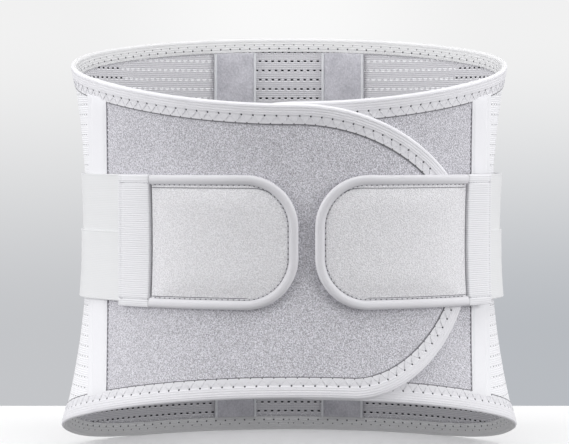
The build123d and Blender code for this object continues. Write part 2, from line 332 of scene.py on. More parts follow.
def body_track(side: Side) -> Track:
    """The wall of the mesh and of one front panel.

    Args:
        side: The side that it goes round.

    Returns:
        A track whose level is the middle of the cloth.
    """
    rise = WAIST.join_angle
    shift = side.sign * PLIES.lift / math.cos(rise)
    front_turn = math.atan2(-WAIST.long_centre, WAIST.side_centre - shift)
    front = math.hypot(WAIST.long_centre, WAIST.side_centre - shift) + WAIST.side_radius
    return Track(
        side,
        [
            Arc(0, -WAIST.long_centre, WAIST.long_radius, math.pi / 2, rise),
            Arc(WAIST.side_centre, 0, WAIST.side_radius, rise, front_turn),
            Arc(shift, WAIST.long_centre, front, front_turn, -math.pi / 2),
        ],
    )


PAD_TO_BAND = PLIES.binding + PLIES.gap


def strap_track(side: Side) -> Track:
    """The wall that a strap follows outside the body: the back face of its pad.

    Args:
        side: The side that it goes round.

    Returns:
        A track from the middle of the back to the middle of the front.
    """
    base = PLIES.panel / 2 if side is Side.LEFT else PLIES.panel_rim
    base += PLIES.free
    rise = WAIST.join_angle
    shift = PLIES.lift / math.cos(rise)
    across = side.sign * WAIST.side_centre - shift
    front = WAIST.long_radius + PLIES.lift + base
    inner = PLIES.band_base - PAD_TO_BAND
    span = front - WAIST.side_radius - inner
    qa = 1 - math.sin(rise) ** 2
    qb = 2 * (WAIST.long_centre + span * math.sin(rise))
    qc = across**2 + WAIST.long_centre**2 - span**2
    pull = (-qb + math.sqrt(qb * qb - 4 * qa * qc)) / (2 * qa)
    bend = front - math.hypot(across, WAIST.long_centre + pull)
    meet = math.atan2(-pull - WAIST.long_centre, side.sign * across)
    reach = WAIST.side_radius + inner
    end = math.atan2(reach * math.sin(rise) + pull, reach * math.cos(rise))
    return Track(
        side,
        [
            Arc(0, -WAIST.long_centre, WAIST.long_radius + inner, math.pi / 2, rise),
            Arc(WAIST.side_centre, -pull, bend, end, meet),
            Arc(side.sign * shift, WAIST.long_centre, front, meet, -math.pi / 2),
        ],
    )


class Outline:
    """An edge drawn on a wall, with its running length and its inward direction."""

    def __init__(self, track: Track, s: Array, z: Array, step: float = 0.0015) -> None:
        """Space the edge evenly.

        Args:
            track: The wall.
            s: Running lengths of the edge's points, with the cloth to its right.
            z: Their heights.
            step: Spacing wanted.
        """
        self.track = track
        for _ in range(3):
            stretch = track.stretch((s[1:] + s[:-1]) / 2, (z[1:] + z[:-1]) / 2)
            run = np.concatenate([[0.0], np.cumsum(np.hypot(np.diff(s) * stretch, np.diff(z)))])
            even = np.linspace(0, run[-1], max(8, int(run[-1] / step)))
            s, z = np.interp(even, run, s), np.interp(even, run, z)
        self.run, self.s, self.z = even, s, z
        stretch = track.stretch(s, z)
        along = np.stack([np.gradient(s) * stretch, np.gradient(z)])
        along = self._soften(along, 9)
        along /= np.hypot(*along)
        self.in_s = along[1] / stretch
        self.in_z = -along[0]

    @staticmethod
    def _soften(rows: Array, width: int) -> Array:
        """Running mean of each row, with its ends kept."""
        kernel = np.ones(width) / width
        padded = np.pad(rows, ((0, 0), (width // 2, width // 2)), mode="edge")
        return np.stack([np.convolve(r, kernel, mode="valid") for r in padded])

    @property
    def length(self) -> float:
        """Length of the edge."""
        return float(self.run[-1])

    def flat(self, run: Array, inward: Array) -> tuple[Array, Array]:
        """Running length and height on the wall of points measured from the edge.

        Args:
            run: Length along the edge.
            inward: Distance in from the edge.

        Returns:
            The wall's running lengths and the heights.
        """
        s = np.interp(run, self.run, self.s) + inward * np.interp(run, self.run, self.in_s)
        z = np.interp(run, self.run, self.z) + inward * np.interp(run, self.run, self.in_z)
        return s, z

    def place(self, run: Array, inward: Array, offset: Array) -> Array:
        """Points measured from the edge and outward from the wall."""
        run, inward, offset = np.broadcast_arrays(run, inward, offset)
        s, z = self.flat(run, inward)
        return self.track.place(s, z, offset)


# ---------------------------------------------------------------- mesh making


def smooth_step(t: Array) -> Array:
    """Ease from zero to one."""
    t = np.clip(t, 0, 1)
    return t * t * (3 - 2 * t)


def new_object(
    name: str,
    points: Array,
    faces: Sequence[Sequence[int]],
    flat: Array,
    finishes: Sequence[int] | None = None,
) -> bpy.types.Object:
    """Make a closed mesh whose faces point outward.

    Args:
        name: The piece's name.
        points: Its points.
        faces: Corner numbers of each face.
        flat: Two cloth coordinates of each point, in metres.
        finishes: Which finish each face takes.

    Returns:
        The object, linked to the scene.
    """
    points = np.asarray(points, float).reshape(-1, 3)
    fans = np.array([(f[0], f[i], f[i + 1]) for f in faces for i in range(1, len(f) - 1)])
    a, b, c = (points[fans[:, i]] for i in range(3))
    if float(np.einsum("ij,ij->", a, np.cross(b, c))) < 0:
        faces = [tuple(reversed(f)) for f in faces]
    mesh = bpy.data.meshes.new(name)
    mesh.from_pydata(points.tolist(), [], [tuple(int(i) for i in f) for f in faces])
    if finishes is not None:
        mesh.polygons.foreach_set("material_index", np.asarray(finishes, np.int32))
    corners = np.zeros(len(mesh.loops), np.int32)
    mesh.loops.foreach_get("vertex_index", corners)
    layer = mesh.uv_layers.new(name="Cloth")
    cloth = np.asarray(flat, float).reshape(-1, 2)[corners]
    layer.data.foreach_set("uv", cloth.astype(np.float32).ravel())
    mesh.polygons.foreach_set("use_smooth", np.ones(len(mesh.polygons), bool))
    mesh.set_sharp_from_angle(angle=math.radians(50))
    mesh.update()
    made = bpy.data.objects.new(name, mesh)
    bpy.context.scene.collection.objects.link(made)
    return made


def slab(name: str, outer: Array, inner: Array, flat: Array) -> bpy.types.Object:
    """Close the space between two grids of points.

    Args:
        name: The piece's name.
        outer: The outer face's grid.
        inner: The inner face's grid, of the same size.
        flat: The cloth coordinates of both.

    Returns:
        The object; its outer face takes finish 0, its inner face 1 and its rim 0.
    """
    rows, cols = outer.shape[:2]
    count = rows * cols
    grid = np.arange(count).reshape(rows, cols)
    quads = np.stack([grid[:-1, :-1], grid[1:, :-1], grid[1:, 1:], grid[:-1, 1:]], -1).reshape(-1, 4)
    back = quads[:, ::-1] + count
    loop = np.concatenate([grid[0, :-1], grid[:-1, -1], grid[-1, :0:-1], grid[:0:-1, 0]])
    after = np.roll(loop, -1)
    rim = np.stack([loop, after, after + count, loop + count], -1)
    faces = [*quads.tolist(), *back.tolist(), *rim.tolist()]
    finishes = [0] * len(quads) + [1] * len(back) + [0] * len(rim)
    points = np.concatenate([outer.reshape(-1, 3), inner.reshape(-1, 3)])
    cloth = np.concatenate([flat.reshape(-1, 2), flat.reshape(-1, 2)])
    return new_object(name, points, faces, cloth, finishes)


def spaced(low: float, high: float, step: float, round_off: float) -> Array:
    """Places from low to high, closer together where the edges are rounded.

    Args:
        low: First place.
        high: Last place.
        step: Spacing in the middle.
        round_off: Radius of the rounding.

    Returns:
        The places.
    """
    near = round_off * np.array([0.0, 0.08, 0.3, 0.6, 1.0])
    middle = np.linspace(low + round_off, high - round_off, max(3, int((high - low) / step)))
    return np.concatenate([low + near[:-1], middle, high - near[-2::-1]])


def shoulder(distance: Array, radius: float) -> Array:
    """How far a face falls back near an edge that is rounded."""
    d = np.clip(distance, 0, radius)
    return radius - np.sqrt(radius**2 - (radius - d) ** 2)


@dataclass
class Cloth:
    """A flat piece of cloth, tape or foam between two upright or sloping ends on a wall."""

    name: str
    track: Track
    outer: float
    inner: float
    step: float = 0.003
    rise_step: float = 0.003
    round_off: float = 0.0004
    square_ends: bool = False

    def build(
        self,
        start: Callable[[Array], Array],
        end: Callable[[Array], Array],
        bottom: Callable[[Array], Array],
        top: Callable[[Array], Array],
        puff: Callable[[Array, Array, Array, Array], Array] | None = None,
        both: bool = False,
    ) -> bpy.types.Object:
        """Make the piece.

        Args:
            start: Running length of its first end at each height.
            end: Running length of its other end at each height.
            bottom: Height of its lower edge at each running length.
            top: Height of its upper edge at each running length.
            puff: Extra outward height from the shares across and up and the distances to the edges.
            both: Whether the inner face puffs inward as well.

        Returns:
            The object.
        """
        first, last = float(start(np.array(0.0))), float(end(np.array(0.0)))
        low, high = float(bottom(np.array(first))), float(top(np.array(first)))
        a = spaced(0, last - first, self.step, self.round_off) / (last - first)
        b = spaced(0, high - low, self.rise_step, self.round_off) / (high - low)
        a, b = np.meshgrid(a, b, indexing="ij")
        s = first + a * (last - first)
        z = low + b * (high - low)
        for _ in range(8):
            s = start(z) + a * (end(z) - start(z))
            z = bottom(s) + b * (top(s) - bottom(s))
        to_end = np.minimum(a, 1 - a) * (end(z) - start(z))
        to_edge = np.minimum(b, 1 - b) * (top(s) - bottom(s))
        fall = shoulder(to_edge, self.round_off)
        if not self.square_ends:
            fall = fall + shoulder(to_end, self.round_off)
        fall = np.minimum(fall, self.round_off)
        extra = np.zeros_like(s) if puff is None else puff(a, b, to_end, to_edge)
        outer = self.track.place(s, z, self.outer - fall + extra)
        inner = self.track.place(s, z, self.inner + fall - (extra if both else 0))
        return slab(self.name, outer, inner, np.stack([s, z], -1))


def tubes(name: str, lines: Sequence[Array], radius: float, sides: int = 6) -> bpy.types.Object:
    """Short lengths of thread, each a closed tube with rounded ends.

    Args:
        name: The piece's name.
        lines: Points along each length.
        radius: Thread radius.
        sides: Sides of each tube.

    Returns:
        One object with every length in it.
    """
    points: list[Array] = []
    faces: list[list[int]] = []
    flat: list[Array] = []
    base = 0
    turn = np.linspace(0, 2 * math.pi, sides, endpoint=False)
    for line in lines:
        way = np.gradient(line, axis=0)
        way /= np.linalg.norm(way, axis=1, keepdims=True)
        side = np.cross(way, [0.31, 0.27, 0.91])
        side /= np.linalg.norm(side, axis=1, keepdims=True)
        up = np.cross(side, way)
        count = len(line)
        ends = np.ones(count)
        ends[0] = ends[-1] = 0.45
        ring = (
            line[:, None, :]
            + (np.cos(turn)[None, :, None] * side[:, None, :] + np.sin(turn)[None, :, None] * up[:, None, :])
            * (radius * ends)[:, None, None]
        )
        points.append(ring.reshape(-1, 3))
        run = np.concatenate([[0.0], np.cumsum(np.linalg.norm(np.diff(line, axis=0), axis=1))])
        flat.append(np.stack(np.broadcast_arrays(run[:, None], turn[None, :] * radius), -1).reshape(-1, 2))
        for i in range(count - 1):
            for j in range(sides):
                k = (j + 1) % sides
                faces.append(
                    [base + i * sides + j, base + (i + 1) * sides + j, base + (i + 1) * sides + k, base + i * sides + k]
                )
        faces.append([base + j for j in range(sides)])
        faces.append([base + (count - 1) * sides + j for j in reversed(range(sides))])
        base += count * sides
    return new_object(name, np.concatenate(points), faces, np.concatenate(flat))


def strip(
    name: str, outline: Outline, inward: Array, offset: Array, across: Array, inside: Array | None = None
) -> bpy.types.Object:
    """Sweep a closed section along an edge.

    Args:
        name: The piece's name.
        outline: The edge.
        inward: Distance in from the edge of each point of the section, one row per place.
        offset: Height off the wall of each of those points.
        across: Cloth coordinate across the strip of each point of the section.
        inside: Which points of the section start a face of finish 1.

    Returns:
        The object, closed at both ends.
    """
    rows, cols = inward.shape
    points = outline.place(outline.run[:, None], inward, offset)
    grid = np.arange(rows * cols).reshape(rows, cols)
    after = np.roll(grid, -1, axis=1)
    quads = np.stack([grid[:-1], grid[1:], after[1:], after[:-1]], -1).reshape(-1, 4)
    faces = [*quads.tolist(), grid[0].tolist(), grid[-1][::-1].tolist()]
    run, side = np.broadcast_arrays(outline.run[:, None], across[None, :])
    chosen = np.zeros(cols, int) if inside is None else np.asarray(inside, int)
    finishes = [*np.tile(chosen, rows - 1).tolist(), 0, 0]
    return new_object(name, points, faces, np.stack([run, side], -1), finishes)


# ---------------------------------------------------------------- shading


class Wire:
    """One value in a shader. Arithmetic on it adds Math nodes."""

    def __init__(self, shader: "Shader", socket: bpy.types.NodeSocket) -> None:
        """Wrap an output socket.

        Args:
            shader: The shader that it belongs to.
            socket: The socket.
        """
        self.shader = shader
        self.socket = socket

    def _math(self, operation: str, *values: "Wire | float", clamp: bool = False) -> "Wire":
        """Add one Math node."""
        inputs = {i: v for i, v in enumerate(values)}
        node = self.shader.node("ShaderNodeMath", {"operation": operation, "use_clamp": clamp}, inputs)
        return Wire(self.shader, node.outputs[0])

    def __add__(self, other: "Wire | float") -> "Wire":
        """Sum."""
        return self._math("ADD", self, other)

    __radd__ = __add__

    def __sub__(self, other: "Wire | float") -> "Wire":
        """Difference."""
        return self._math("SUBTRACT", self, other)

    def __rsub__(self, other: "Wire | float") -> "Wire":
        """Difference, the other way round."""
        return self._math("SUBTRACT", other, self)

    def __mul__(self, other: "Wire | float") -> "Wire":
        """Product."""
        return self._math("MULTIPLY", self, other)

    __rmul__ = __mul__

    def __truediv__(self, other: "Wire | float") -> "Wire":
        """Quotient."""
        return self._math("DIVIDE", self, other)

    def floor(self) -> "Wire":
        """Whole part."""
        return self._math("FLOOR", self)

    def fraction(self) -> "Wire":
        """What is left over the whole part."""
        return self._math("FRACT", self)

    def size(self) -> "Wire":
        """Distance from zero."""
        return self._math("ABSOLUTE", self)

    def sine(self) -> "Wire":
        """Sine."""
        return self._math("SINE", self)

    def root(self) -> "Wire":
        """Square root."""
        return self._math("SQRT", self)

    def most(self, other: "Wire | float") -> "Wire":
        """The larger of two."""
        return self._math("MAXIMUM", self, other)

    def least(self, other: "Wire | float") -> "Wire":
        """The smaller of two."""
        return self._math("MINIMUM", self, other)

    def ease(self, low: float, high: float) -> "Wire":
        """A smooth step from zero at low to one at high; falling where high is below low."""
        up = low < high
        ends = (low, high) if up else (high, low)
        node = self.shader.node(
            "ShaderNodeMapRange",
            {"interpolation_type": "SMOOTHSTEP"},
            {0: self, 1: ends[0], 2: ends[1], 3: 0.0 if up else 1.0, 4: 1.0 if up else 0.0},
        )
        return Wire(self.shader, node.outputs[0])

    def wave(self, pitch: float) -> "Wire":
        """A sine of this length that runs from zero to one."""
        return 0.5 + 0.5 * (self * (2 * math.pi / pitch)).sine()

    def centred(self, pitch: float, shift: "Wire | float" = 0.5) -> "Wire":
        """Signed distance from the middle of each repeat."""
        return ((self / pitch + shift).fraction() - 0.5) * pitch


class Shader:
    """A material under construction."""

    def __init__(self, name: str, **constants: Any) -> None:
        """Start a material.

        Args:
            name: Its name.
            constants: Values set directly on the surface's sockets.
        """
        self.material = bpy.data.materials.new(f"{name}_finish")
        self.material.use_nodes = True
        self.nodes = self.material.node_tree.nodes
        self.links = self.material.node_tree.links
        self.surface = next(n for n in self.nodes if n.type == "BSDF_PRINCIPLED")
        for socket, value in constants.items():
            self.surface.inputs[socket.replace("_", " ")].default_value = value

    def node(self, kind: str, settings: dict[str, Any], inputs: dict[int | str, Any]) -> bpy.types.Node:
        """Add one node.

        Args:
            kind: Its type.
            settings: Its settings, set first.
            inputs: A value or a link for each socket named or numbered.

        Returns:
            The node.
        """
        made = self.nodes.new(kind)
        for key, value in settings.items():
            setattr(made, key, value)
        for key, value in inputs.items():
            if isinstance(value, Wire):
                self.links.new(value.socket, made.inputs[key])
            elif isinstance(value, bpy.types.NodeSocket):
                self.links.new(value, made.inputs[key])
            else:
                made.inputs[key].default_value = value
        return made

    def cloth(self) -> tuple[Wire, Wire]:
        """The two cloth coordinates, in metres."""
        flat = self.node("ShaderNodeUVMap", {"uv_map": "Cloth"}, {})
        parts = self.node("ShaderNodeSeparateXYZ", {}, {0: flat.outputs[0]})
        return Wire(self, parts.outputs[0]), Wire(self, parts.outputs[1])

    def place(self, stretch: Point = (1, 1, 1)) -> bpy.types.NodeSocket:
        """Coordinates in the piece's own space, stretched along each axis."""
        where = self.node("ShaderNodeTexCoord", {}, {})
        if stretch == (1, 1, 1):
            return where.outputs["Object"]
        scaled = self.node(
            "ShaderNodeVectorMath", {"operation": "MULTIPLY"}, {0: where.outputs["Object"], 1: stretch}
        )
        return scaled.outputs[0]

    def noise(self, scale: float, detail: float = 2.0, rough: float = 0.5, stretch: Point = (1, 1, 1)) -> Wire:
        """Noise from zero to one in the piece's own space."""
        made = self.node(
            "ShaderNodeTexNoise",
            {"noise_dimensions": "3D"},
            {"Vector": self.place(stretch), "Scale": scale, "Detail": detail, "Roughness": rough},
        )
        return Wire(self, made.outputs[0])

    def loops(self, scale: float, spread: float = 1.0) -> Wire:
        """Distance to the middle of the nearest loop of yarn."""
        made = self.node(
            "ShaderNodeTexVoronoi",
            {"feature": "F1"},
            {"Vector": self.place(), "Scale": scale, "Randomness": spread},
        )
        return Wire(self, made.outputs["Distance"])

    def mix(
        self, factor: Wire | float, first: Colour | bpy.types.NodeSocket, second: Colour | bpy.types.NodeSocket
    ) -> bpy.types.NodeSocket:
        """Mix two colours."""
        ends = [(*c, 1.0) if isinstance(c, tuple) else c for c in (first, second)]
        made = self.node(
            "ShaderNodeMix",
            {"data_type": "RGBA", "clamp_factor": True},
            {0: factor, 6: ends[0], 7: ends[1]},
        )
        return made.outputs[2]

    def colour(self, value: bpy.types.NodeSocket) -> None:
        """Link the surface's colour."""
        self.links.new(value, self.surface.inputs["Base Color"])

    def rough(self, value: Wire) -> None:
        """Link the surface's roughness."""
        self.links.new(value.socket, self.surface.inputs["Roughness"])

    def relief(self, height: Wire, depth: float, strength: float = 1.0) -> None:
        """Raise the surface by a height from zero to one.

        Args:
            height: The height.
            depth: What one stands for, in metres.
            strength: Share of the effect.
        """
        bump = self.node("ShaderNodeBump", {}, {"Strength": strength, "Distance": depth, "Height": height})
        self.links.new(bump.outputs[0], self.surface.inputs["Normal"])


@dataclass(frozen=True)
class Finish:
    """A finish that pieces take. Each kind says how its material is made."""

    name: str = "plain_cloth"

    def material(self) -> bpy.types.Material:
        """The finish's material, made once."""
        found = bpy.data.materials.get(f"{self.name}_finish")
        return found or self.make().material

    def make(self) -> Shader:
        """Make the material."""
        raise NotImplementedError


@dataclass(frozen=True)
class LoopCloth(Finish):
    """Brushed loop fabric: a low pile of pale and dark loops."""

    name: str = "panel_loop"
    dark: Colour = (0.35, 0.345, 0.375)
    pale: Colour = (0.84, 0.83, 0.885)
    loop: float = 0.00075
    depth: float = 0.0004
    cloud: float = 0.06

    def make(self) -> Shader:
        """Make the material."""
        out = Shader(self.name, Roughness=0.92, Sheen_Weight=0.25, Sheen_Roughness=0.5, Specular_IOR_Level=0.2)
        fine = out.noise(1 / self.loop, 1.0, 0.5)
        pile = out.loops(1.1 / self.loop)
        broad = out.noise(28, 2.0, 0.5)
        tone = (fine.ease(0.36, 0.64) * 0.6 + pile.ease(0.7, 0.15) * 0.4) + (broad - 0.5) * self.cloud * 3
        out.colour(out.mix(tone, self.dark, self.pale))
        out.rough(0.84 + fine * 0.14)
        out.relief(fine * 0.6 + pile.ease(0.8, 0.1) * 0.4, self.depth)
        return out


@dataclass(frozen=True)
class RibbedElastic(Finish):
    """Fold-over elastic: fine lengthwise ribs, with needle holes along its zigzag seam painted near-black as painted
    shade, and a painted shadow line along its inner edge.
    """

    name: str = "binding"
    colour_of: Colour = (0.79, 0.785, 0.815)
    shade: Colour = (0.56, 0.555, 0.59)
    # near-black painted shade: the shade in the needle holes and the shadow line along the inner edge
    painted_shade: Colour = (0.03, 0.03, 0.04)
    pitch: float = 0.0070
    hole_row: float = 0.0076
    far_row: float = 0.0123
    edge: float = 0.0130
    holes: float = 1.0

    def make(self) -> Shader:
        """Make the material."""
        out = Shader(self.name, Roughness=0.75, Sheen_Weight=0.15, Specular_IOR_Level=0.3)
        run, inward = out.cloth()
        inward = inward.size()
        ribs = inward.wave(0.00045)
        yarn = run.wave(0.0007)
        grain = out.noise(1500, 2.0, 0.6)
        soft = out.noise(60, 2.0, 0.5)
        tone = ribs * 0.25 + yarn * 0.15 + grain * 0.35 + soft * 0.3
        base = out.mix(tone.ease(0.15, 0.75), self.shade, self.colour_of)
        base = out.mix(0.55, base, self.colour_of)
        near = run.centred(self.pitch)
        from_hole = (near * near + (inward - self.hole_row) * (inward - self.hole_row)).root()
        far = run.centred(self.pitch, 0.0)
        from_far = (far * far + (inward - self.far_row) * (inward - self.far_row)).root()
        # painted shade: the needle holes are painted near-black, not cut
        needle_hole_shade = from_hole.ease(0.00075, 0.00036).most(from_far.ease(0.00060, 0.00025) * 0.9)
        dent = from_hole.ease(0.0012, 0.0003)
        # painted shadow: a dark line along the binding's inner edge, where it stands above the panel
        painted_rim_shading = inward.ease(self.edge - 0.0008, self.edge - 0.0003)
        out.colour(out.mix((needle_hole_shade * self.holes).most(painted_rim_shading * 0.85), base, self.painted_shade))
        out.rough(0.7 + grain * 0.2)
        out.relief(ribs * 0.35 + yarn * 0.15 + grain * 0.3 - dent * 1.2 * self.holes, 0.00022)
        return out


@dataclass(frozen=True)
class SmoothElastic(Finish):
    """Smooth woven elastic with faint ribs along or across it."""

    name: str = "band"
    colour_of: Colour = (0.78, 0.79, 0.81)
    shade: Colour = (0.66, 0.67, 0.70)
    rib: float = 0.0011
    along: bool = True
    strength: float = 0.4
    depth: float = 0.00012

    def make(self) -> Shader:
        """Make the material."""
        out = Shader(self.name, Roughness=0.6, Sheen_Weight=0.1, Specular_IOR_Level=0.35)
        run, up = out.cloth()
        across = up if self.along else run
        ribs = across.wave(self.rib)
        grain = out.noise(1700, 2.0, 0.6)
        soft = out.noise(22, 2.0, 0.5, (1, 1, 0.35))
        tone = ribs * self.strength + grain * 0.3 + soft * 0.5
        out.colour(out.mix(tone.ease(0.1, 0.95), self.shade, self.colour_of))
        out.rough(0.55 + grain * 0.15)
        out.relief(ribs * 0.6 + grain * 0.4, self.depth)
        return out


@dataclass(frozen=True)
class EyeletMesh(Finish):
    """Knitted mesh: fine ribs, with rows of eyelets painted dark as the shade seen through them, a painted highlight on
    each eyelet's lower rim, and, in the upper rows at the sides, pale dashes painted as light seen through the eyelets.
    """

    name: str = "mesh_outside"
    pale: Colour = (0.80, 0.80, 0.83)
    shade: Colour = (0.62, 0.62, 0.66)
    # near-black painted shade seen through the eyelets
    painted_shade: Colour = (0.015, 0.015, 0.02)
    row: float = 0.0064
    column: float = 0.0042
    drop: float = 0.0016
    half_width: float = 0.00085
    half_height: float = 0.00060
    centre_until: float = 0.0375
    # where pale dashes are painted as light seen through the eyelets: at the sides, above a height
    light_through_until: float = 0.118
    light_through_above: float = 0.045
    depth: float = 0.0005
    eyelet_shade_strength: float = 1.0

    def make(self) -> Shader:
        """Make the material."""
        out = Shader(self.name, Roughness=0.85, Sheen_Weight=0.15, Specular_IOR_Level=0.2)
        run, up = out.cloth()
        far = run.size()
        up = up + self.drop
        stagger = ((up / self.row).floor() * 0.5).fraction()
        tall = up.centred(self.row, 0.0)
        wide = run.centred(self.column, stagger)
        knit = up.wave(0.0013)
        stitch = run.wave(0.0011)
        grain = out.noise(1300, 2.0, 0.6)
        # painted shade: each eyelet is painted dark, as the shade seen through it; it is not cut
        painted_shade = ((wide.size() / self.half_width).most(tall.size() / self.half_height)).ease(1.15, 0.75)
        # painted highlight: a pale rim below each eyelet, where light catches it
        painted_rim_shading = ((wide.size() / (self.half_width * 1.2)).most((tall + 0.0009).size() / 0.00035)).ease(1.2, 0.7)
        # painted light: pale dashes that stand for light seen through the eyelets
        light_dash = ((wide.size() / 0.0014).most(tall.size() / 0.00034)).ease(1.15, 0.8)
        light_through = up.ease(self.light_through_above - 0.002, self.light_through_above + 0.002)
        light_through = light_through * far.ease(self.centre_until, self.centre_until + 0.001)
        light_through = light_through * far.ease(self.light_through_until + 0.001, self.light_through_until)
        tone = knit * 0.35 + grain * 0.35 + stitch * 0.12
        base = out.mix(tone.ease(0.1, 0.75), self.shade, self.pale)
        # painted highlight colour of the eyelets' lower rims
        base = out.mix(painted_rim_shading * 0.6, base, (0.95, 0.95, 0.97))
        # painted light colour of the dashes seen through the eyelets
        base = out.mix(light_dash * light_through, base, (0.98, 0.98, 1.0))
        eyelet_shade = painted_shade * (1 - light_through) * self.eyelet_shade_strength
        out.colour(out.mix(eyelet_shade, base, self.painted_shade))
        out.rough(0.78 + grain * 0.15)
        out.relief(knit * 0.3 + grain * 0.15 + light_dash * light_through * 0.5 - eyelet_shade * 1.0 + 0.5, self.depth)
        return out


@dataclass(frozen=True)
class BrushedCloth(Finish):
    """Soft brushed cloth for linings and the stay sleeves."""

    name: str = "sleeve"
    dark: Colour = (0.357, 0.353, 0.39)
    pale: Colour = (0.595, 0.59, 0.63)
    depth: float = 0.0003

    def make(self) -> Shader:
        """Make the material."""
        out = Shader(self.name, Roughness=0.95, Sheen_Weight=0.3, Specular_IOR_Level=0.15)
        nap = out.noise(900, 3.0, 0.6, (1, 1, 0.7))
        cloud = out.noise(70, 3.0, 0.6)
        tone = nap.ease(0.25, 0.75) * 0.6 + cloud.ease(0.3, 0.7) * 0.4
        out.colour(out.mix(tone, self.dark, self.pale))
        out.rough(0.86 + nap * 0.12)
        out.relief(nap * 0.7 + cloud * 0.3, self.depth)
        return out


@dataclass(frozen=True)
class Thread(Finish):
    """Sewing thread, twisted from two plies."""

    name: str = "thread"
    pale: Colour = (0.86, 0.86, 0.88)
    dark: Colour = (0.62, 0.62, 0.66)

    def make(self) -> Shader:
        """Make the material."""
        out = Shader(self.name, Roughness=0.5, Sheen_Weight=0.1, Specular_IOR_Level=0.4)
        run, turn = out.cloth()
        twist = (run + turn * 1.4).wave(0.0007)
        out.colour(out.mix(twist * 0.7 + out.noise(900) * 0.3, self.dark, self.pale))
        out.relief(twist, 0.00008)
        return out


@dataclass(frozen=True)
class HookTape(Finish):
    """Moulded hook tape: rows of tiny hooks."""

    name: str = "hook"
    pale: Colour = (0.80, 0.80, 0.80)
    dark: Colour = (0.50, 0.50, 0.52)

    def make(self) -> Shader:
        """Make the material."""
        out = Shader(self.name, Roughness=0.45, Specular_IOR_Level=0.5)
        run, up = out.cloth()
        rows = up.wave(0.0014) * run.wave(0.0010)
        grain = out.noise(1200, 2.0, 0.5)
        out.colour(out.mix(rows.ease(0.15, 0.7) * 0.8 + grain * 0.2, self.dark, self.pale))
        out.rough(0.4 + grain * 0.2)
        out.relief(rows, 0.0005)
        return out


@dataclass(frozen=True)
class StayPlastic(Finish):
    """Moulded plastic of the flat stays, with fine drawing marks."""

    name: str = "stay"
    pale: Colour = (0.74, 0.74, 0.74)
    dark: Colour = (0.62, 0.62, 0.63)

    def make(self) -> Shader:
        """Make the material."""
        out = Shader(self.name, Roughness=0.4, Specular_IOR_Level=0.5)
        marks = out.noise(240, 3.0, 0.6, (6, 6, 0.2))
        out.colour(out.mix(marks, self.dark, self.pale))
        out.rough(0.34 + marks * 0.15)
        out.relief(marks, 0.00006)
        return out


BINDING = RibbedElastic()
# painted shade: the binding's inner leg takes the same elastic darker, for the inside of the brace, which lies in shade
BINDING_INSIDE_SHADED = RibbedElastic("binding_inside", (0.74, 0.74, 0.745), (0.50, 0.50, 0.51), hole_row=0.0072, far_row=0.0046)
PAD_BINDING = SmoothElastic("pad_binding", (0.72, 0.715, 0.745), (0.58, 0.575, 0.60), 0.0006, True, 0.3, 0.00008)
PANEL = LoopCloth()
PAD_CLOTH = LoopCloth("pad_loop", (0.60, 0.595, 0.615), (0.86, 0.855, 0.88), 0.00075, 0.0003, 0.03)
LINING = BrushedCloth("lining", (0.52, 0.52, 0.56), (0.68, 0.68, 0.72))
SLEEVE = BrushedCloth()
PIPING = SmoothElastic("piping", (0.70, 0.71, 0.73), (0.52, 0.53, 0.56), 0.0008, False, 0.6, 0.0002)
CHANNEL = SmoothElastic("channel", (0.76, 0.76, 0.79), (0.64, 0.64, 0.68), 0.0016, True, 0.5, 0.00016)
TAPE = SmoothElastic("tape", (0.82, 0.82, 0.845), (0.72, 0.72, 0.75), 0.0010, False, 0.35, 0.0001)
ROOT_TAPE = SmoothElastic("root_tape", (0.76, 0.76, 0.785), (0.60, 0.60, 0.625), 0.0012, True, 0.45, 0.00016)
BAND = SmoothElastic(colour_of=(0.73, 0.735, 0.745), shade=(0.66, 0.665, 0.675), strength=0.12, depth=0.00005)
MESH_OUTSIDE = EyeletMesh(pale=(0.88, 0.88, 0.90), shade=(0.74, 0.74, 0.77), half_width=0.0006, half_height=0.0004, light_through_until=0.02, eyelet_shade_strength=0.6)
# painted shade: the mesh's inner face is a darker copy of its outer colours, for the inside of the brace, which lies in
# shade
MESH_INSIDE_SHADED = EyeletMesh("mesh_inside_shaded", (0.655, 0.65, 0.67), (0.48, 0.475, 0.505))
THREAD = Thread()
# near-black: dark thread for the seams, and painted shade for the pad's needle holes
DARK_THREAD_AND_HOLE_SHADE = Thread("dark_thread_and_hole_shade", (0.22, 0.22, 0.25), (0.10, 0.10, 0.12))
HOOK = HookTape()
STAY = StayPlastic()


# ---------------------------------------------------------------- how pieces are carried


@dataclass(frozen=True)
class Bend:
    """A joint that cloth crosses, and where it starts and stops bending."""

    parent: str
    child: str
    start: Point
    end: Point


def rear_bend(side: Side) -> Bend:
    """The bend of everything sewn to the back and to one front half."""
    return Bend("back", f"{side.word}_front", (0, 0.066, 0), (0, 0.036, 0))


def strap_bend(side: Side) -> Bend:
    """The bend of a strap away from its front half."""
    return Bend(f"{side.word}_front", f"{side.word}_strap", (0, 0.0345, 0), (0, 0.004, 0))


def settle(
    piece: bpy.types.Object,
    carried: str | Bend,
    finishes: Sequence[Finish],
    stands_for: Sequence[str] = (),
) -> bpy.types.Object:
    """Give a piece its finishes and parent it to the body that it moves with; a piece given a joint only has its
    transform baked.

    Args:
        piece: The piece, in place.
        carried: A body's name, or a joint; for a joint no bending is set up.
        finishes: Its finishes in the order of its faces' numbers.
        stands_for: CAD nodes that it replaces.

    Returns:
        The piece.
    """
    for finish in finishes:
        piece.data.materials.append(finish.material())
    if isinstance(carried, Bend):
        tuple(carried.start)
        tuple(carried.end)
        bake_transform(piece)
    else:
        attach(piece, carried)
    if stands_for:
        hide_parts(*stands_for)
    log.info("%s: %d points", piece.name, len(piece.data.vertices))
    return piece


def box_width(node: str, axis: int = 0) -> tuple[float, float]:
    """Lowest and highest value of a CAD node along one axis."""
    low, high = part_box(node)
    return low[axis], high[axis]


# ---------------------------------------------------------------- the back


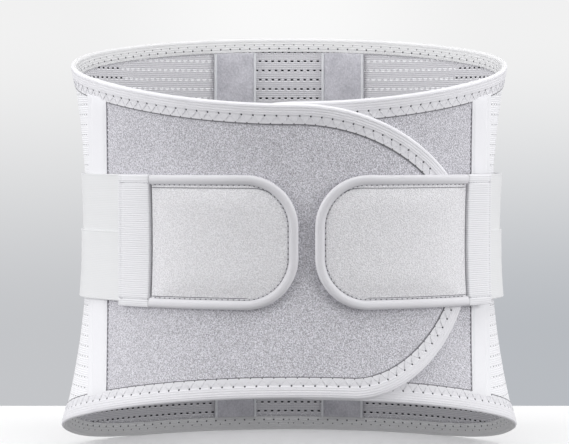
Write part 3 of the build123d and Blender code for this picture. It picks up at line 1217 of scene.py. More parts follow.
@dataclass
class Back:
    """The middle of the back: mesh, two stay sleeves inside and two padded channels outside."""

    sleeve: tuple[float, float] = (0.023, 0.052)
    channel: tuple[float, float] = (0.026, 0.050)
    centre_half: float = 0.0375
    edge_inset: float = 0.00095
    binding_outside: float = 0.0130
    binding_inside: float = 0.0095
    sleeve_levels: tuple[float, float] = (-0.00095, -0.0027)
    channel_levels: tuple[float, float] = (0.00095, 0.0046)
    piping_width: float = 0.0018
    stitch: float = 0.0032
    pieces: list[bpy.types.Object] = field(default_factory=list)

    def build(self) -> None:
        """Build and dress every piece."""
        self.mesh()
        for side in Side:
            track = body_track(side)
            self.sleeve_piece(side, track)
            self.pipings(side, track)
            self.channel_piece(side, track)
            self.channel_stitches(side, track)
            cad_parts[f"{side.word}_back_stay"]
            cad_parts[f"{side.word}_back_stay"].data.materials.clear()
            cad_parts[f"{side.word}_back_stay"].data.materials.append(STAY.material())

    def mesh(self) -> None:
        """The mesh between the two sleeves' middles."""
        track = body_track(Side.RIGHT)
        half = PLIES.mesh / 2
        cloth = Cloth("back_centre_mesh", track, half, -half, 0.003, 0.004)
        piece = cloth.build(
            lambda z: track.across_back(-self.centre_half, z),
            lambda z: track.across_back(self.centre_half, z),
            lambda s: track.level(Rim.BOTTOM, s, self.edge_inset),
            lambda s: track.level(Rim.TOP, s, self.edge_inset),
        )
        settle(piece, "back", [MESH_OUTSIDE, MESH_INSIDE_SHADED], ["back_mesh"])

    def sleeve_piece(self, side: Side, track: Track) -> None:
        """The brushed sleeve that holds a stay inside the back."""
        outer, inner = self.sleeve_levels
        cloth = Cloth(f"{side.word}_stay_sleeve_back", track, outer, inner, 0.0015, 0.004, 0.0005)
        inset = self.binding_inside + 0.00015
        piece = cloth.build(
            lambda z: track.across_back(self.sleeve[0], z),
            lambda z: track.across_back(self.sleeve[1], z),
            lambda s: track.level(Rim.BOTTOM, s, inset),
            lambda s: track.level(Rim.TOP, s, inset),
            lambda a, b, to_end, to_edge: -0.0002 * np.exp(-((to_end / 0.0035) ** 2)),
            both=True,
        )
        settle(piece, "back", [SLEEVE, SLEEVE], [f"{side.word}_back_sleeve"])

    def pipings(self, side: Side, track: Track) -> None:
        """The pale piping down both sides of a sleeve."""
        inset = self.binding_inside + 0.0002
        for number, middle in enumerate((self.sleeve[0] + 0.0008, self.sleeve[1] - 0.0008)):
            z = np.linspace(
                float(track.level(Rim.BOTTOM, track.across_back(middle, -0.13), inset)),
                float(track.level(Rim.TOP, track.across_back(middle, 0.12), inset)),
                120,
            )
            turn = np.linspace(0, 2 * math.pi, 14, endpoint=False)
            across = middle + np.cos(turn) * self.piping_width / 2
            depth = self.sleeve_levels[1] - 0.0001 + np.sin(turn) * 0.0005
            s = track.across_back(across[None, :], z[:, None])
            points = track.place(s, z[:, None], depth[None, :])
            name = f"{side.word}_sleeve_piping_{number + 1}"
            self.rope(name, points, z)

    def rope(self, name: str, points: Array, z: Array) -> None:
        """Close a long rounded strip and settle it on the back."""
        rows, cols = points.shape[:2]
        grid = np.arange(rows * cols).reshape(rows, cols)
        after = np.roll(grid, -1, axis=1)
        quads = np.stack([grid[:-1], grid[1:], after[1:], after[:-1]], -1).reshape(-1, 4)
        faces = [*quads.tolist(), grid[0].tolist(), grid[-1][::-1].tolist()]
        turn = np.linspace(0, 0.004, cols)
        flat = np.stack(np.broadcast_arrays(z[:, None], turn[None, :]), -1)
        settle(new_object(name, points, faces, flat), "back", [PIPING])

    def channel_piece(self, side: Side, track: Track) -> None:
        """The padded channel outside the back, crowned over its stay."""
        inner, outer = self.channel_levels
        cloth = Cloth(f"{side.word}_padded_channel", track, outer, inner, 0.0012, 0.003, 0.0014)
        inset = self.binding_outside + 0.0002

        def crown(a: Array, b: Array, to_end: Array, to_edge: Array) -> Array:
            """A rounded back with a groove where each seam is sewn."""
            rise = 0.0011 * smooth_step((to_end - 0.002) / 0.006) * smooth_step(to_edge / 0.006)
            groove = 0.0007 * np.exp(-(((to_end - 0.0026) / 0.0006) ** 2))
            ripple = 0.00012 * np.sin(b * 190) * smooth_step(to_end / 0.004)
            return rise - groove + ripple

        piece = cloth.build(
            lambda z: track.across_back(self.channel[0], z),
            lambda z: track.across_back(self.channel[1], z),
            lambda s: track.level(Rim.BOTTOM, s, inset),
            lambda s: track.level(Rim.TOP, s, inset),
            crown,
        )
        settle(piece, "back", [CHANNEL, CHANNEL], [f"{side.word}_back_channel"])

    def channel_stitches(self, side: Side, track: Track) -> None:
        """Two rows of stitches down each padded channel."""
        lines = []
        inset = self.binding_outside + 0.002
        for middle in (self.channel[0] + 0.0026, self.channel[1] - 0.0026):
            low = float(track.level(Rim.BOTTOM, track.across_back(middle, -0.12), inset))
            high = float(track.level(Rim.TOP, track.across_back(middle, 0.11), inset))
            for z in np.arange(low, high - self.stitch, self.stitch):
                part = z + np.array([0.0, 0.25, 0.5, 0.75, 1.0]) * self.stitch * 0.72
                lift = self.channel_levels[1] - 0.0005 + np.array([-0.0004, 0, 0.0001, 0, -0.0004])
                lines.append(track.place(track.across_back(middle, part), part, lift))
        piece = tubes(f"{side.word}_channel_stitches", lines, 0.00024)
        settle(piece, "back", [THREAD])


# ---------------------------------------------------------------- one front half


@dataclass(frozen=True)
class Tip:
    """The rounded end of one front panel, measured across the front from the middle."""

    reach: float
    top_start: float
    bottom_start: float
    level: float = -0.004


TIPS = {Side.LEFT: Tip(0.113, 0.004, 0.040), Side.RIGHT: Tip(0.095, -0.005, -0.025)}


@dataclass
class FrontHalf:
    """One side of the brace and its front panel, with the binding that runs round it."""

    side: Side
    seam: float = 0.113
    channel_width: float = 0.013
    mesh_from: float = 0.0375
    edge_inset: float = 0.00095
    binding_outside: float = 0.0130
    binding_inside: float = 0.0095
    binding_thick: float = 0.0008
    stitch_pitch: float = 0.0070
    stitch_near: float = 0.0076
    stitch_far: float = 0.0123
    patch: tuple[float, float] = (0.040, 0.076)

    def __post_init__(self) -> None:
        """Work out the wall and the outline."""
        self.track = body_track(self.side)
        self.tip = TIPS[self.side]
        self.body = f"{self.side.word}_front"
        self.outline = self.edge_path(0.0)
        self.seam_run = float(self.track.across_front(self.seam, 0.0))

    def build(self) -> None:
        """Build and dress every piece."""
        self.mesh()
        self.panel()
        self.tape()
        self.sleeve()
        self.binding()
        self.zigzag(outside=True)
        self.zigzag(outside=False)
        self.seam_stitches()
        if self.side is Side.LEFT:
            self.hook_patch()
        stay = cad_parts[f"{self.side.word}_side_stay"]
        stay.data.materials.clear()
        stay.data.materials.append(STAY.material())

    def rim_level(self, rim: Rim, reach: Array, inset: float = 0.0) -> Array:
        """Height of the panel's edge across the front.

        Args:
            rim: Which edge.
            reach: Places across the front, positive towards the tip.
            inset: Distance kept inside the edge.

        Returns:
            The heights.
        """
        reach = np.asarray(reach, float)
        start = self.tip.top_start if rim is Rim.TOP else self.tip.bottom_start
        guess = np.full(reach.shape, 0.09 * rim.value)
        for _ in range(6):
            s = self.track.across_front(-np.minimum(reach, start), guess)
            guess = self.track.level(rim, s)
        crest = guess
        share = np.clip((reach - start) / (self.tip.reach - start - inset), 0, 1)
        half = (crest - self.tip.level) - rim.value * inset
        round_part = self.tip.level + half * np.sqrt(1 - share**2)
        return np.where(reach > start, round_part, crest - rim.value * inset)

    def edge_path(self, inset: float) -> Outline:
        """The whole edge, from the middle of the back over the tip and back again."""
        parts_s: list[Array] = []
        parts_z: list[Array] = []
        for rim in (Rim.TOP, Rim.BOTTOM):
            start = self.tip.top_start if rim is Rim.TOP else self.tip.bottom_start
            turn_s = float(self.track.across_front(-start, 0.09 * rim.value))
            s = np.linspace(0, turn_s, 400)
            z = self.track.level(rim, s, inset)
            quarter = np.linspace(0, math.pi / 2, 160)[1:-1]
            reach = start + (self.tip.reach - start) * np.sin(quarter)
            tip_z = self.rim_level(rim, reach, inset)
            tip_s = self.track.across_front(-reach, tip_z)
            s, z = np.concatenate([s, tip_s]), np.concatenate([z, tip_z])
            if rim is Rim.BOTTOM:
                s, z = s[::-1], z[::-1]
            parts_s.append(s)
            parts_z.append(z)
        return Outline(self.track, np.concatenate(parts_s), np.concatenate(parts_z))

    def rim_height(self, s: Array) -> Array:
        """Outer height of the binding along the wall: lower over the mesh than over the panel."""
        share = smooth_step((s - self.seam_run + 0.004) / 0.008)
        return PLIES.mesh_rim + (PLIES.panel_rim - PLIES.mesh_rim) * share

    def mesh(self) -> None:
        """The mesh from behind the sleeve, round the side, to the seam."""
        half = PLIES.mesh / 2
        cloth = Cloth(f"{self.side.word}_mesh", self.track, half, -half, 0.0025, 0.004)
        piece = cloth.build(
            lambda z: self.track.across_back(self.mesh_from, z),
            lambda z: self.track.across_front(self.seam - 0.002, z),
            lambda s: self.track.level(Rim.BOTTOM, s, self.edge_inset),
            lambda s: self.track.level(Rim.TOP, s, self.edge_inset),
        )
        settle(piece, rear_bend(self.side), [MESH_OUTSIDE, MESH_INSIDE_SHADED], [f"{self.side.word}_side_mesh"])

    def panel(self) -> None:
        """The foam panel: loop cloth outside, lining inside, a little plump between its bindings."""
        half = PLIES.panel / 2
        inset = self.edge_inset
        last = self.tip.reach - inset
        count = 130
        reach = -self.seam + (last + self.seam) * np.sin(np.linspace(0, math.pi / 2, count))
        reach[-1] = last - 0.00002
        b = np.concatenate([[0, 0.002, 0.006], np.linspace(0.012, 0.988, 80), [0.994, 0.998, 1]])
        low = self.rim_level(Rim.BOTTOM, reach, inset)[:, None]
        high = self.rim_level(Rim.TOP, reach, inset)[:, None]
        z = low + b[None, :] * (high - low)
        s = self.track.across_front(-reach[:, None], z)
        to_edge = np.minimum(b, 1 - b)[None, :] * (high - low)
        to_tip = last - reach[:, None] + 0 * z
        to_seam = reach[:, None] + self.seam + 0 * z
        inside = np.minimum(to_edge, np.minimum(to_tip * 1.3, to_seam + self.binding_outside - 0.002))
        plump = 0.00016 * smooth_step((inside - self.binding_outside) / 0.012)
        plump = plump + 0.00006 * np.sin(s * 95 + 1.3) * np.sin(z * 80 + 0.6) * (inside > self.binding_outside)
        press = 0.0003 * (1 - smooth_step(inside / self.binding_outside))
        outer = self.track.place(s, z, half + plump - press)
        inner = self.track.place(s, z, -half - plump * 0.6 + press)
        piece = slab(f"{self.side.word}_panel", outer, inner, np.stack([s, z], -1))
        nodes = [f"{self.side.word}_panel_{ply}" for ply in ("face", "core", "lining")]
        settle(piece, self.body, [PANEL, LINING], nodes)

    def tape(self) -> None:
        """The smooth tape over the side stay, with a raised middle."""
        base = PLIES.mesh / 2 + PLIES.gap
        cloth = Cloth(f"{self.side.word}_tape", self.track, base + 0.0009, base, 0.0007, 0.004, 0.0004)
        inset = self.binding_outside - 0.0015

        def ridge(a: Array, b: Array, to_end: Array, to_edge: Array) -> Array:
            """A raised channel in the outer two thirds and a flat seam allowance beside the panel."""
            lift = smooth_step((a - 0.22) / 0.10) * (1 - smooth_step((a - 0.86) / 0.12))
            return 0.00055 * lift * smooth_step(to_edge / 0.006) - 0.00025 * np.exp(-(((a - 0.24) / 0.05) ** 2))

        piece = cloth.build(
            lambda z: self.track.across_side(self.seam + self.channel_width, z),
            lambda z: self.track.across_front(self.seam + 0.0002, z),
            lambda s: self.track.level(Rim.BOTTOM, s, inset),
            lambda s: self.track.level(Rim.TOP, s, inset),
            ridge,
        )
        settle(piece, self.body, [TAPE, TAPE], [f"{self.side.word}_side_tape"])

    def sleeve(self) -> None:
        """The brushed sleeve inside the side stay."""
        cloth = Cloth(f"{self.side.word}_stay_sleeve_side", self.track, -0.00095, -0.0027, 0.0012, 0.004, 0.0005)
        inset = self.binding_inside + 0.00015
        piece = cloth.build(
            lambda z: self.track.across_side(self.seam + self.channel_width, z),
            lambda z: self.track.across_front(self.seam + 0.001, z),
            lambda s: self.track.level(Rim.BOTTOM, s, inset),
            lambda s: self.track.level(Rim.TOP, s, inset),
        )
        settle(piece, self.body, [SLEEVE, SLEEVE], [f"{self.side.word}_side_sleeve"])

    def section(self) -> tuple[Array, Array, Array, Array, Array]:
        """The binding's cross-section.

        Returns:
            Distance in from the edge as a part that is fixed and a part that grows with the rim's height,
            height off the wall in the same two parts, and the cloth coordinate across the strip.
        """
        leg = np.linspace(self.binding_outside, 0.0024, 40)
        ribbed = 1 - smooth_step((leg - 0.0066) / 0.0008)
        ribs = 0.00017 * np.sin(math.pi * leg / 0.00155) ** 2 * ribbed
        sewn = -0.00030 * smooth_step((leg - 0.0066) / 0.0014) - 0.00012 * smooth_step((leg - 0.0121) / 0.0006)
        turn = np.linspace(math.pi / 2, -math.pi / 2, 13)
        back = np.linspace(0.0024, self.binding_inside, 24)
        back_ribs = 0.00014 * np.sin(math.pi * back / 0.00155) ** 2
        back_ribs = back_ribs - 0.00025 * smooth_step((back - 0.0072) / 0.0012)
        thin = self.binding_thick - 0.0001
        inner = np.array([self.binding_inside - 0.0003, 0.0030, 0.0012, 0.0030, self.binding_outside - 0.0003])
        inner_side = np.array([-1.0, -1.0, 0.0, 1.0, 1.0])
        inward = [leg, np.zeros(13), back, inner]
        grow_in = [np.zeros(40), 1 - np.cos(turn), np.zeros(24), np.zeros(5)]
        height = [ribs + sewn, np.zeros(13), -back_ribs, -inner_side * thin]
        grow_up = [np.ones(40), np.sin(turn), -np.ones(24), inner_side]
        across = [leg, 0.0012 * np.sin(turn), -back, inner_side * inner]
        fixed, growing, up, up_growing, cloth = (
            np.concatenate(rows) for rows in (inward, grow_in, height, grow_up, across)
        )
        return fixed, growing, up, up_growing, cloth

    def binding(self) -> None:
        """The ribbed elastic folded over the whole edge."""
        fixed, growing, up, up_growing, cloth = self.section()
        rim = self.rim_height(self.outline.s)[:, None]
        pull = np.cos(2 * math.pi * self.outline.run / self.stitch_pitch)[:, None]
        sewn = smooth_step((fixed - 0.0072) / 0.002)[None, :] * (up_growing[None, :] > 0.5)
        inward = fixed[None, :] + growing[None, :] * rim
        offset = up[None, :] + up_growing[None, :] * rim - 0.00009 * pull * sewn
        inside = (up_growing < 0.2) & (np.arange(len(cloth)) < 40 + 13 + 24)
        piece = strip(f"{self.side.word}_edge_binding", self.outline, inward, offset, cloth, inside)
        nodes = ["back_top_binding", "back_bottom_binding", f"{self.side.word}_front_binding"]
        settle(piece, rear_bend(self.side), [BINDING, BINDING_INSIDE_SHADED], nodes)

    def zigzag(self, outside: bool) -> None:
        """The zigzag seam through the binding.

        Args:
            outside: Whether this is the outer face of the seam.
        """
        way = 1 if outside else -1
        count = int((self.outline.length - 0.002) / self.stitch_pitch)
        lines = []
        bow = np.array([-0.00022, 0.00004, 0.00010, 0.00004, -0.00022])
        share = np.array([0.0, 0.25, 0.5, 0.75, 1.0])
        for n in range(count):
            for step in (0, 1):
                run = (n + step / 2 + share / 2) * self.stitch_pitch
                near, far = self.stitch_near, self.stitch_far
                inward = near + (far - near) * (share if step == 0 else 1 - share)
                s, _ = self.outline.flat(run, inward)
                rim = self.rim_height(s) - 0.0003
                if not outside:
                    panel = smooth_step((s - self.seam_run) / 0.002)
                    cloth = PLIES.mesh / 2 + (PLIES.panel - PLIES.mesh) / 2 * panel
                    rim = np.where(inward > self.binding_inside, cloth, rim)
                lines.append(self.outline.place(run, inward, way * (rim + bow)))
        face = "outside" if outside else "inside"
        piece = tubes(f"{self.side.word}_zigzag_{face}", lines, 0.00019, 5)
        settle(piece, rear_bend(self.side), [THREAD])

    def seam_stitches(self) -> None:
        """The dark row of stitches where the panel meets the side tape."""
        inset = self.binding_outside + 0.0005
        low = float(self.track.level(Rim.BOTTOM, self.track.across_front(self.seam, -0.1), inset))
        high = float(self.track.level(Rim.TOP, self.track.across_front(self.seam, 0.1), inset))
        pitch = 0.0028
        lines = []
        for z in np.arange(low, high - pitch, pitch):
            part = z + np.linspace(0, 1, 5) * pitch * 0.8
            lift = PLIES.panel / 2 + np.array([-0.0002, 0.00008, 0.00012, 0.00008, -0.0002])
            lines.append(self.track.place(self.track.across_front(self.seam - 0.0002, part), part, lift))
        piece = tubes(f"{self.side.word}_seam_stitches", lines, 0.00026)
        settle(piece, self.body, [DARK_THREAD_AND_HOLE_SHADE])

    def hook_patch(self) -> None:
        """The hook patch on the inner face of the outer panel."""
        middle = self.tip.reach - self.binding_outside - self.patch[0] / 2 - 0.008
        half_w, half_h = self.patch[0] / 2, self.patch[1] / 2
        corner = 0.010
        inner = -box_gap(self.side)
        cloth = Cloth("left_hook_patch_piece", self.track, -PLIES.panel / 2 - PLIES.gap, inner, 0.0015, 0.0015, 0.0003)

        def height(s: Array) -> Array:
            """Half height of the patch with its rounded corners."""
            x = (self.track.place(s, self.tip.level)[..., 0] - middle)
            into = np.clip(np.abs(x) - (half_w - corner), 0, corner)
            return half_h - corner + np.sqrt(corner**2 - into**2)

        piece = cloth.build(
            lambda z: self.track.across_front(-(middle - half_w), z),
            lambda z: self.track.across_front(-(middle + half_w), z),
            lambda s: self.tip.level - height(s),
            lambda s: self.tip.level + height(s),
        )
        settle(piece, self.body, [HOOK, HOOK], ["left_hook_patch"])


def box_gap(side: Side) -> float:
    """How far the hook patch stands below the middle of its panel."""
    step = 2 * PLIES.panel_rim + PLIES.free
    return step - PLIES.panel / 2 - PLIES.free


# ---------------------------------------------------------------- straps and pads


@dataclass(frozen=True)
class PadShape:
    """Where one pad starts and ends across the front, and how wide its root tape is."""

    root: float
    end: float
    tape: float


PADS = {Side.LEFT: PadShape(0.086, -0.0055, 0.0185), Side.RIGHT: PadShape(0.111, 0.0153, 0.014)}


@dataclass
class Strap:
    """Two elastic bands, one over the other, sewn into a ribbed root tape."""

    side: Side
    upper: tuple[float, float] = (0.0, 0.041)
    lower: tuple[float, float] = (-0.038, 0.0055)
    fan: float = 0.2
    fan_start: float = 0.005
    anchor: float = 0.029
    root_web: float = 0.0015
    half_height: float = 0.041
    split: float = 0.035

    def __post_init__(self) -> None:
        """Work out the wall."""
        self.track = strap_track(self.side)
        self.shape = PADS[self.side]
        self.corner_run = self.track.starts[1]
        s = np.linspace(self.corner_run, self.corner_run + 0.02, 400)
        self.rear_end = float(np.interp(-self.split, -self.track.place(s, 0.0)[..., 1], s))
        self.far = WAIST.long_radius * math.cos(WAIST.join_angle)
        tangent = math.tan(WAIST.join_angle)
        rear_y = WAIST.side_radius * math.sin(WAIST.join_angle)
        self.fan_step = self.fan * tangent * (rear_y - self.fan_start) / 2
        self.bow = self.fan * tangent / (2 * (rear_y - self.fan_start))

    def build(self) -> None:
        """Build and dress every piece."""
        for word, span, turn, level in (
            ("upper", self.upper, 1, 0.0),
            ("lower", self.lower, -1, PLIES.band + 2 * PLIES.gap),
        ):
            self.rear_band(word, span, turn, level)
            self.front_band(word, span, turn, level)
            self.hem(word, span, turn, level)
        self.root_tape()
        self.root_stitches()

    def rise(self, s: Array, turn: int) -> Array:
        """How far a band climbs or drops behind the side as the two fan apart."""
        place = self.track.place(s, 0.0)
        y = place[..., 1]
        curve = self.bow * np.clip(y - self.fan_start, 0, None) ** 2
        straight = self.fan_step + self.fan * (self.far - np.abs(place[..., 0]))
        return turn * np.where(s < self.corner_run, straight, np.minimum(curve, self.fan_step))

    def rear_band(self, word: str, span: tuple[float, float], turn: int, level: float) -> None:
        """The part of a band from the back channel to the rear corner."""
        inner = PAD_TO_BAND + level
        cloth = Cloth(f"{self.side.word}_{word}_band_behind", self.track, inner + PLIES.band, inner, 0.003, 0.002, 0.0003, True)
        piece = cloth.build(
            lambda z: self.track.across_back(self.anchor, z),
            lambda z: self.rear_end + 0 * z,
            lambda s: span[0] + self.rise(s, turn),
            lambda s: span[1] + self.rise(s, turn),
            self.slack,
        )
        settle(piece, rear_bend(self.side), [BAND, BAND], [f"{self.side.word}_{word}_band_rear"])
        length = self.rear_end - float(self.track.across_back(self.anchor, 0.0))

    def front_band(self, word: str, span: tuple[float, float], turn: int, level: float) -> None:
        """The part of a band from the rear corner to its root tape."""
        inner = PAD_TO_BAND + level
        cloth = Cloth(f"{self.side.word}_{word}_band_ahead", self.track, inner + PLIES.band, inner, 0.0025, 0.002, 0.0003, True)
        root = self.shape.root + self.root_web + 0.00015
        piece = cloth.build(
            lambda z: self.rear_end + 0 * z,
            lambda z: self.track.across_front(root, z, inner),
            lambda s: span[0] + self.rise(s, turn),
            lambda s: span[1] + self.rise(s, turn),
            self.slack,
        )
        settle(piece, strap_bend(self.side), [BAND, BAND], [f"{self.side.word}_{word}_band"])
        length = float(self.track.across_front(root, 0.0, inner)) - self.rear_end

    @staticmethod
    def slack(a: Array, b: Array, to_end: Array, to_edge: Array) -> Array:
        """The faint waves of elastic under light tension."""
        wave = np.sin(a * 9 + 0.8) * np.sin(b * 4.2 + 0.5) + 0.5 * np.sin(b * 31)
        return 0.00007 * wave * smooth_step(to_edge / 0.003) * smooth_step(to_end / 0.006)

    def hem(self, word: str, span: tuple[float, float], turn: int, level: float) -> None:
        """The fine selvedge cord along both long edges of a band's front part."""
        top = PAD_TO_BAND + level + PLIES.band
        root = float(self.track.across_front(self.shape.root + self.shape.tape + 0.0005, 0.0, top))
        s = np.arange(self.rear_end + 0.001, root, 0.003)
        lines = [
            self.track.place(s, edge + self.rise(s, turn), top - 0.00006)
            for edge in (span[0] + 0.0007, span[1] - 0.0007)
        ]
        piece = tubes(f"{self.side.word}_{word}_selvedge", lines, 0.00022, 6)
        settle(piece, strap_bend(self.side), [BAND])

    def root_tape(self) -> None:
        """The ribbed tape that holds both bands and carries the pad."""
        shape = self.shape
        cloth = Cloth(f"{self.side.word}_root", self.track, PLIES.pad, 0.0, 0.0009, 0.0005, 0.0011)

        def ribs(a: Array, b: Array, to_end: Array, to_edge: Array) -> Array:
            """Fine ribs, a groove beside the pad and a pressed hem at the other end."""
            height = (b - 0.5) * 2 * self.half_height
            fine = 0.00006 * np.sin(2 * math.pi * height / 0.0017)
            hem = -0.00035 * np.exp(-(((a - 0.14) / 0.045) ** 2))
            plump = 0.00035 * np.sin(math.pi * np.clip(a, 0, 1)) * smooth_step(to_edge / 0.004)
            return fine + hem + plump - 0.0003 * np.exp(-(((to_edge - 0.0052) / 0.0006) ** 2))

        piece = cloth.build(
            lambda z: self.track.across_front(shape.root + shape.tape, z),
            lambda z: self.root_run(z),
            lambda s: -self.half_height + 0 * s,
            lambda s: self.half_height + 0 * s,
            ribs,
        )
        settle(piece, f"{self.side.word}_strap", [ROOT_TAPE, ROOT_TAPE], [f"{self.side.word}_root_tape"])

    def root_run(self, z: Array) -> Array:
        """Running length where the pad meets the root tape, the same at every height."""
        return self.track.across_front(self.shape.root, 0.0, PLIES.pad) + 0 * z

    def root_stitches(self) -> None:
        """The seam beside the pad, the zigzag at both ends and the hem's row."""
        lines = []
        top = PLIES.pad + 0.0002
        bow = np.array([-0.0003, 0.00002, 0.00008, 0.00002, -0.0003])
        share = np.array([0.0, 0.25, 0.5, 0.75, 1.0])
        near = float(self.root_run(np.array(0.0)))
        far = float(self.track.across_front(self.shape.root + self.shape.tape, 0.0))
        pitch = 0.0028
        for z in np.arange(-self.half_height + 0.002, self.half_height - 0.003, pitch):
            part = z + share * pitch * 0.75
            lines.append(self.track.place(far + 0.0026, part, top - 0.00035 + bow))
        for edge in (-1, 1):
            level = edge * (self.half_height - 0.0052)
            for n, s in enumerate(np.arange(far + 0.003, near - 0.0022, 0.0013)):
                tall = level + 0.0008 * (share - 0.5) * (1 if n % 2 else -1)
                lines.append(self.track.place(s + share * 0.0012, tall, top - 0.0002 + bow))
        piece = tubes(f"{self.side.word}_root_stitches", lines, 0.0002, 5)
        settle(piece, f"{self.side.word}_strap", [THREAD])
        seam = []
        for z in np.arange(-self.half_height + 0.001, self.half_height - 0.003, 0.0032):
            part = z + share * 0.0026
            seam.append(self.track.place(near - 0.0009, part, top - 0.00055 + bow))
        piece = tubes(f"{self.side.word}_root_seam", seam, 0.00024, 5)
        settle(piece, f"{self.side.word}_strap", [DARK_THREAD_AND_HOLE_SHADE])


@dataclass
class Pad:
    """A rounded pad: a crowned body, a plump binding round it and hook cloth behind."""

    side: Side
    half_height: float = 0.041
    corner: float = 0.032
    binding_width: float = 0.006
    gap: float = 0.00015
    crown: float = 0.0009
    stitch: float = 0.0035
    seam_line: float = 0.0080
    swell_cap: float = 0.0007

    def __post_init__(self) -> None:
        """Work out the wall and the outline."""
        self.track = strap_track(self.side)
        self.shape = PADS[self.side]
        self.body = f"{self.side.word}_pad"
        self.root = float(self.track.across_front(self.shape.root, 0.0, PLIES.pad)) + self.gap
        self.outline = self.edge_path()

    def build(self) -> None:
        """Build and dress every piece."""
        self.body_piece()
        self.binding()
        self.stitches()
        self.hook_face()

    def half_at(self, into: Array, inset: float) -> Array:
        """Half height of the pad at a distance from its rounded end, less an inset."""
        corner = self.corner - inset
        short = np.clip(corner - (into - inset), 0, corner)
        return self.half_height - inset - corner + np.sqrt(corner**2 - short**2)

    def edge_path(self) -> Outline:
        """The pad's edge from its root over the top, round the end and back below."""
        turn = np.linspace(0, math.pi / 2, 60)
        u = [np.linspace(self.shape.root + 0.004, self.shape.end + self.corner, 200)]
        z = [np.full(200, self.half_height)]
        u.append(self.shape.end + self.corner * (1 - np.sin(turn[1:])))
        z.append(self.half_height - self.corner * (1 - np.cos(turn[1:])))
        u = np.concatenate([*u, *[part[::-1] for part in u[::-1]]])
        z = np.concatenate([*z, *[-part[::-1] for part in z[::-1]]])
        s = self.track.across_front(u, z)
        keep = s > self.root
        first, last = np.argmax(keep), len(keep) - 1 - np.argmax(keep[::-1])
        s, z = s[first : last + 1], z[first : last + 1]
        s = np.concatenate([[self.root], s, [self.root]])
        z = np.concatenate([[self.half_height], z, [-self.half_height]])
        return Outline(self.track, s, z, 0.0012)

    def body_grid(self, inset: float, step: float, finest: float) -> tuple[Array, Array, Array]:
        """A grid over the pad inside an inset.

        Args:
            inset: Distance kept inside the edge.
            step: Spacing wanted.
            finest: How near to the rounded end the last row lies.

        Returns:
            Running lengths, heights, and the distance of each point from the pad's edge.
        """
        end_s = self.track.across_front(self.shape.end + inset + finest, 0.0)
        count = int((end_s - self.root) / step)
        share = np.sin(np.linspace(0, math.pi / 2, count))
        b = np.sin(np.linspace(-math.pi / 2, math.pi / 2, int(2 * self.half_height / step))) * 0.5 + 0.5
        b = 0.55 * b + 0.45 * np.linspace(0, 1, len(b))
        s = (self.root + inset * 0.9 + share * (end_s - self.root - inset * 0.9))[:, None] + 0 * b[None, :]
        z = np.zeros_like(s)
        for _ in range(6):
            u = self.side.sign * self.track.place(s, z)[..., 0]
            half = self.half_at(u - self.shape.end, inset)
            z = (2 * b[None, :] - 1) * half
        u = self.side.sign * self.track.place(s, z)[..., 0]
        qx = self.corner - (u - self.shape.end)
        qz = np.abs(z) - (self.half_height - self.corner)
        outside = np.hypot(np.maximum(qx, 0), np.maximum(qz, 0)) + np.minimum(np.maximum(qx, qz), 0)
        distance = np.minimum(self.corner - outside, s - self.root)
        return s, z, distance

    def body_piece(self) -> None:
        """The pad itself, swelled by a short cloth simulation and held at its seam."""
        s, z, distance = self.body_grid(PLIES.binding + 0.00015, 0.0016, 0.0006)
        low = PLIES.binding + 0.0001
        seam = smooth_step((distance - 0.0052) / 0.0022)
        rise = smooth_step((distance - 0.006) / 0.015) * self.crown
        line = 0.00028 * np.exp(-(((distance - self.seam_line) / 0.0006) ** 2))
        top = PLIES.pad - 0.0016 + 0.0009 * seam + rise - line
        piece = slab(f"{self.side.word}_pad_body_piece", self.track.place(s, z, top), self.track.place(s, z, low), np.stack([s, z], -1))
        Swell(self.swell_cap).run(piece, np.concatenate([distance.ravel(), distance.ravel() * 0]))
        settle(piece, self.body, [PAD_CLOTH, PAD_CLOTH], [f"{self.side.word}_pad_body"])

    def binding(self) -> None:
        """The plump binding round the pad, from root to root."""
        width, high = self.binding_width, PLIES.pad
        knots = [
            (width + 0.0001, 0.0024), (width - 0.0004, 0.0029), (width - 0.0012, high - 0.0003),
            (width * 0.66, high + 0.00012), (width * 0.48, high + 0.0002), (width * 0.30, high + 0.0001),
            (width * 0.15, high - 0.0004), (0.00035, high - 0.0011), (0.0, high * 0.5),
            (0.0003, 0.0009), (0.0011, 0.0002), (0.0022, 0.0), (width - 0.001, 0.0), (width, 0.0003),
            (width + 0.0001, 0.0010),
        ]
        section = self.rounded(np.array(knots), 4)
        rows = len(self.outline.run)
        pull = 0.00010 * np.cos(2 * math.pi * self.outline.run / self.stitch)[:, None]
        near_seam = np.exp(-(((section[:, 0] - width) / 0.0012) ** 2)) * (section[:, 1] > 0.0015)
        inward = np.broadcast_to(section[:, 0], (rows, len(section)))
        offset = section[None, :, 1] - pull * near_seam[None, :]
        around = np.concatenate([[0.0], np.cumsum(np.hypot(*np.diff(section, axis=0).T))])
        piece = strip(f"{self.side.word}_pad_edge", self.outline, inward, offset, around)
        settle(piece, self.body, [PAD_BINDING], [f"{self.side.word}_pad_binding"])

    @staticmethod
    def rounded(knots: Array, parts: int) -> Array:
        """A closed curve through the middles of a section's corners, eased at each of them."""
        after = np.roll(knots, -1, axis=0)
        middles = (knots + after) / 2
        t = np.linspace(0, 1, parts, endpoint=False)[:, None]
        rows = []
        for i in range(len(knots)):
            a, b, c = middles[i - 1], knots[i], middles[i]
            rows.append((1 - t) ** 2 * a + 2 * t * (1 - t) * b + t**2 * c)
        return np.concatenate(rows)

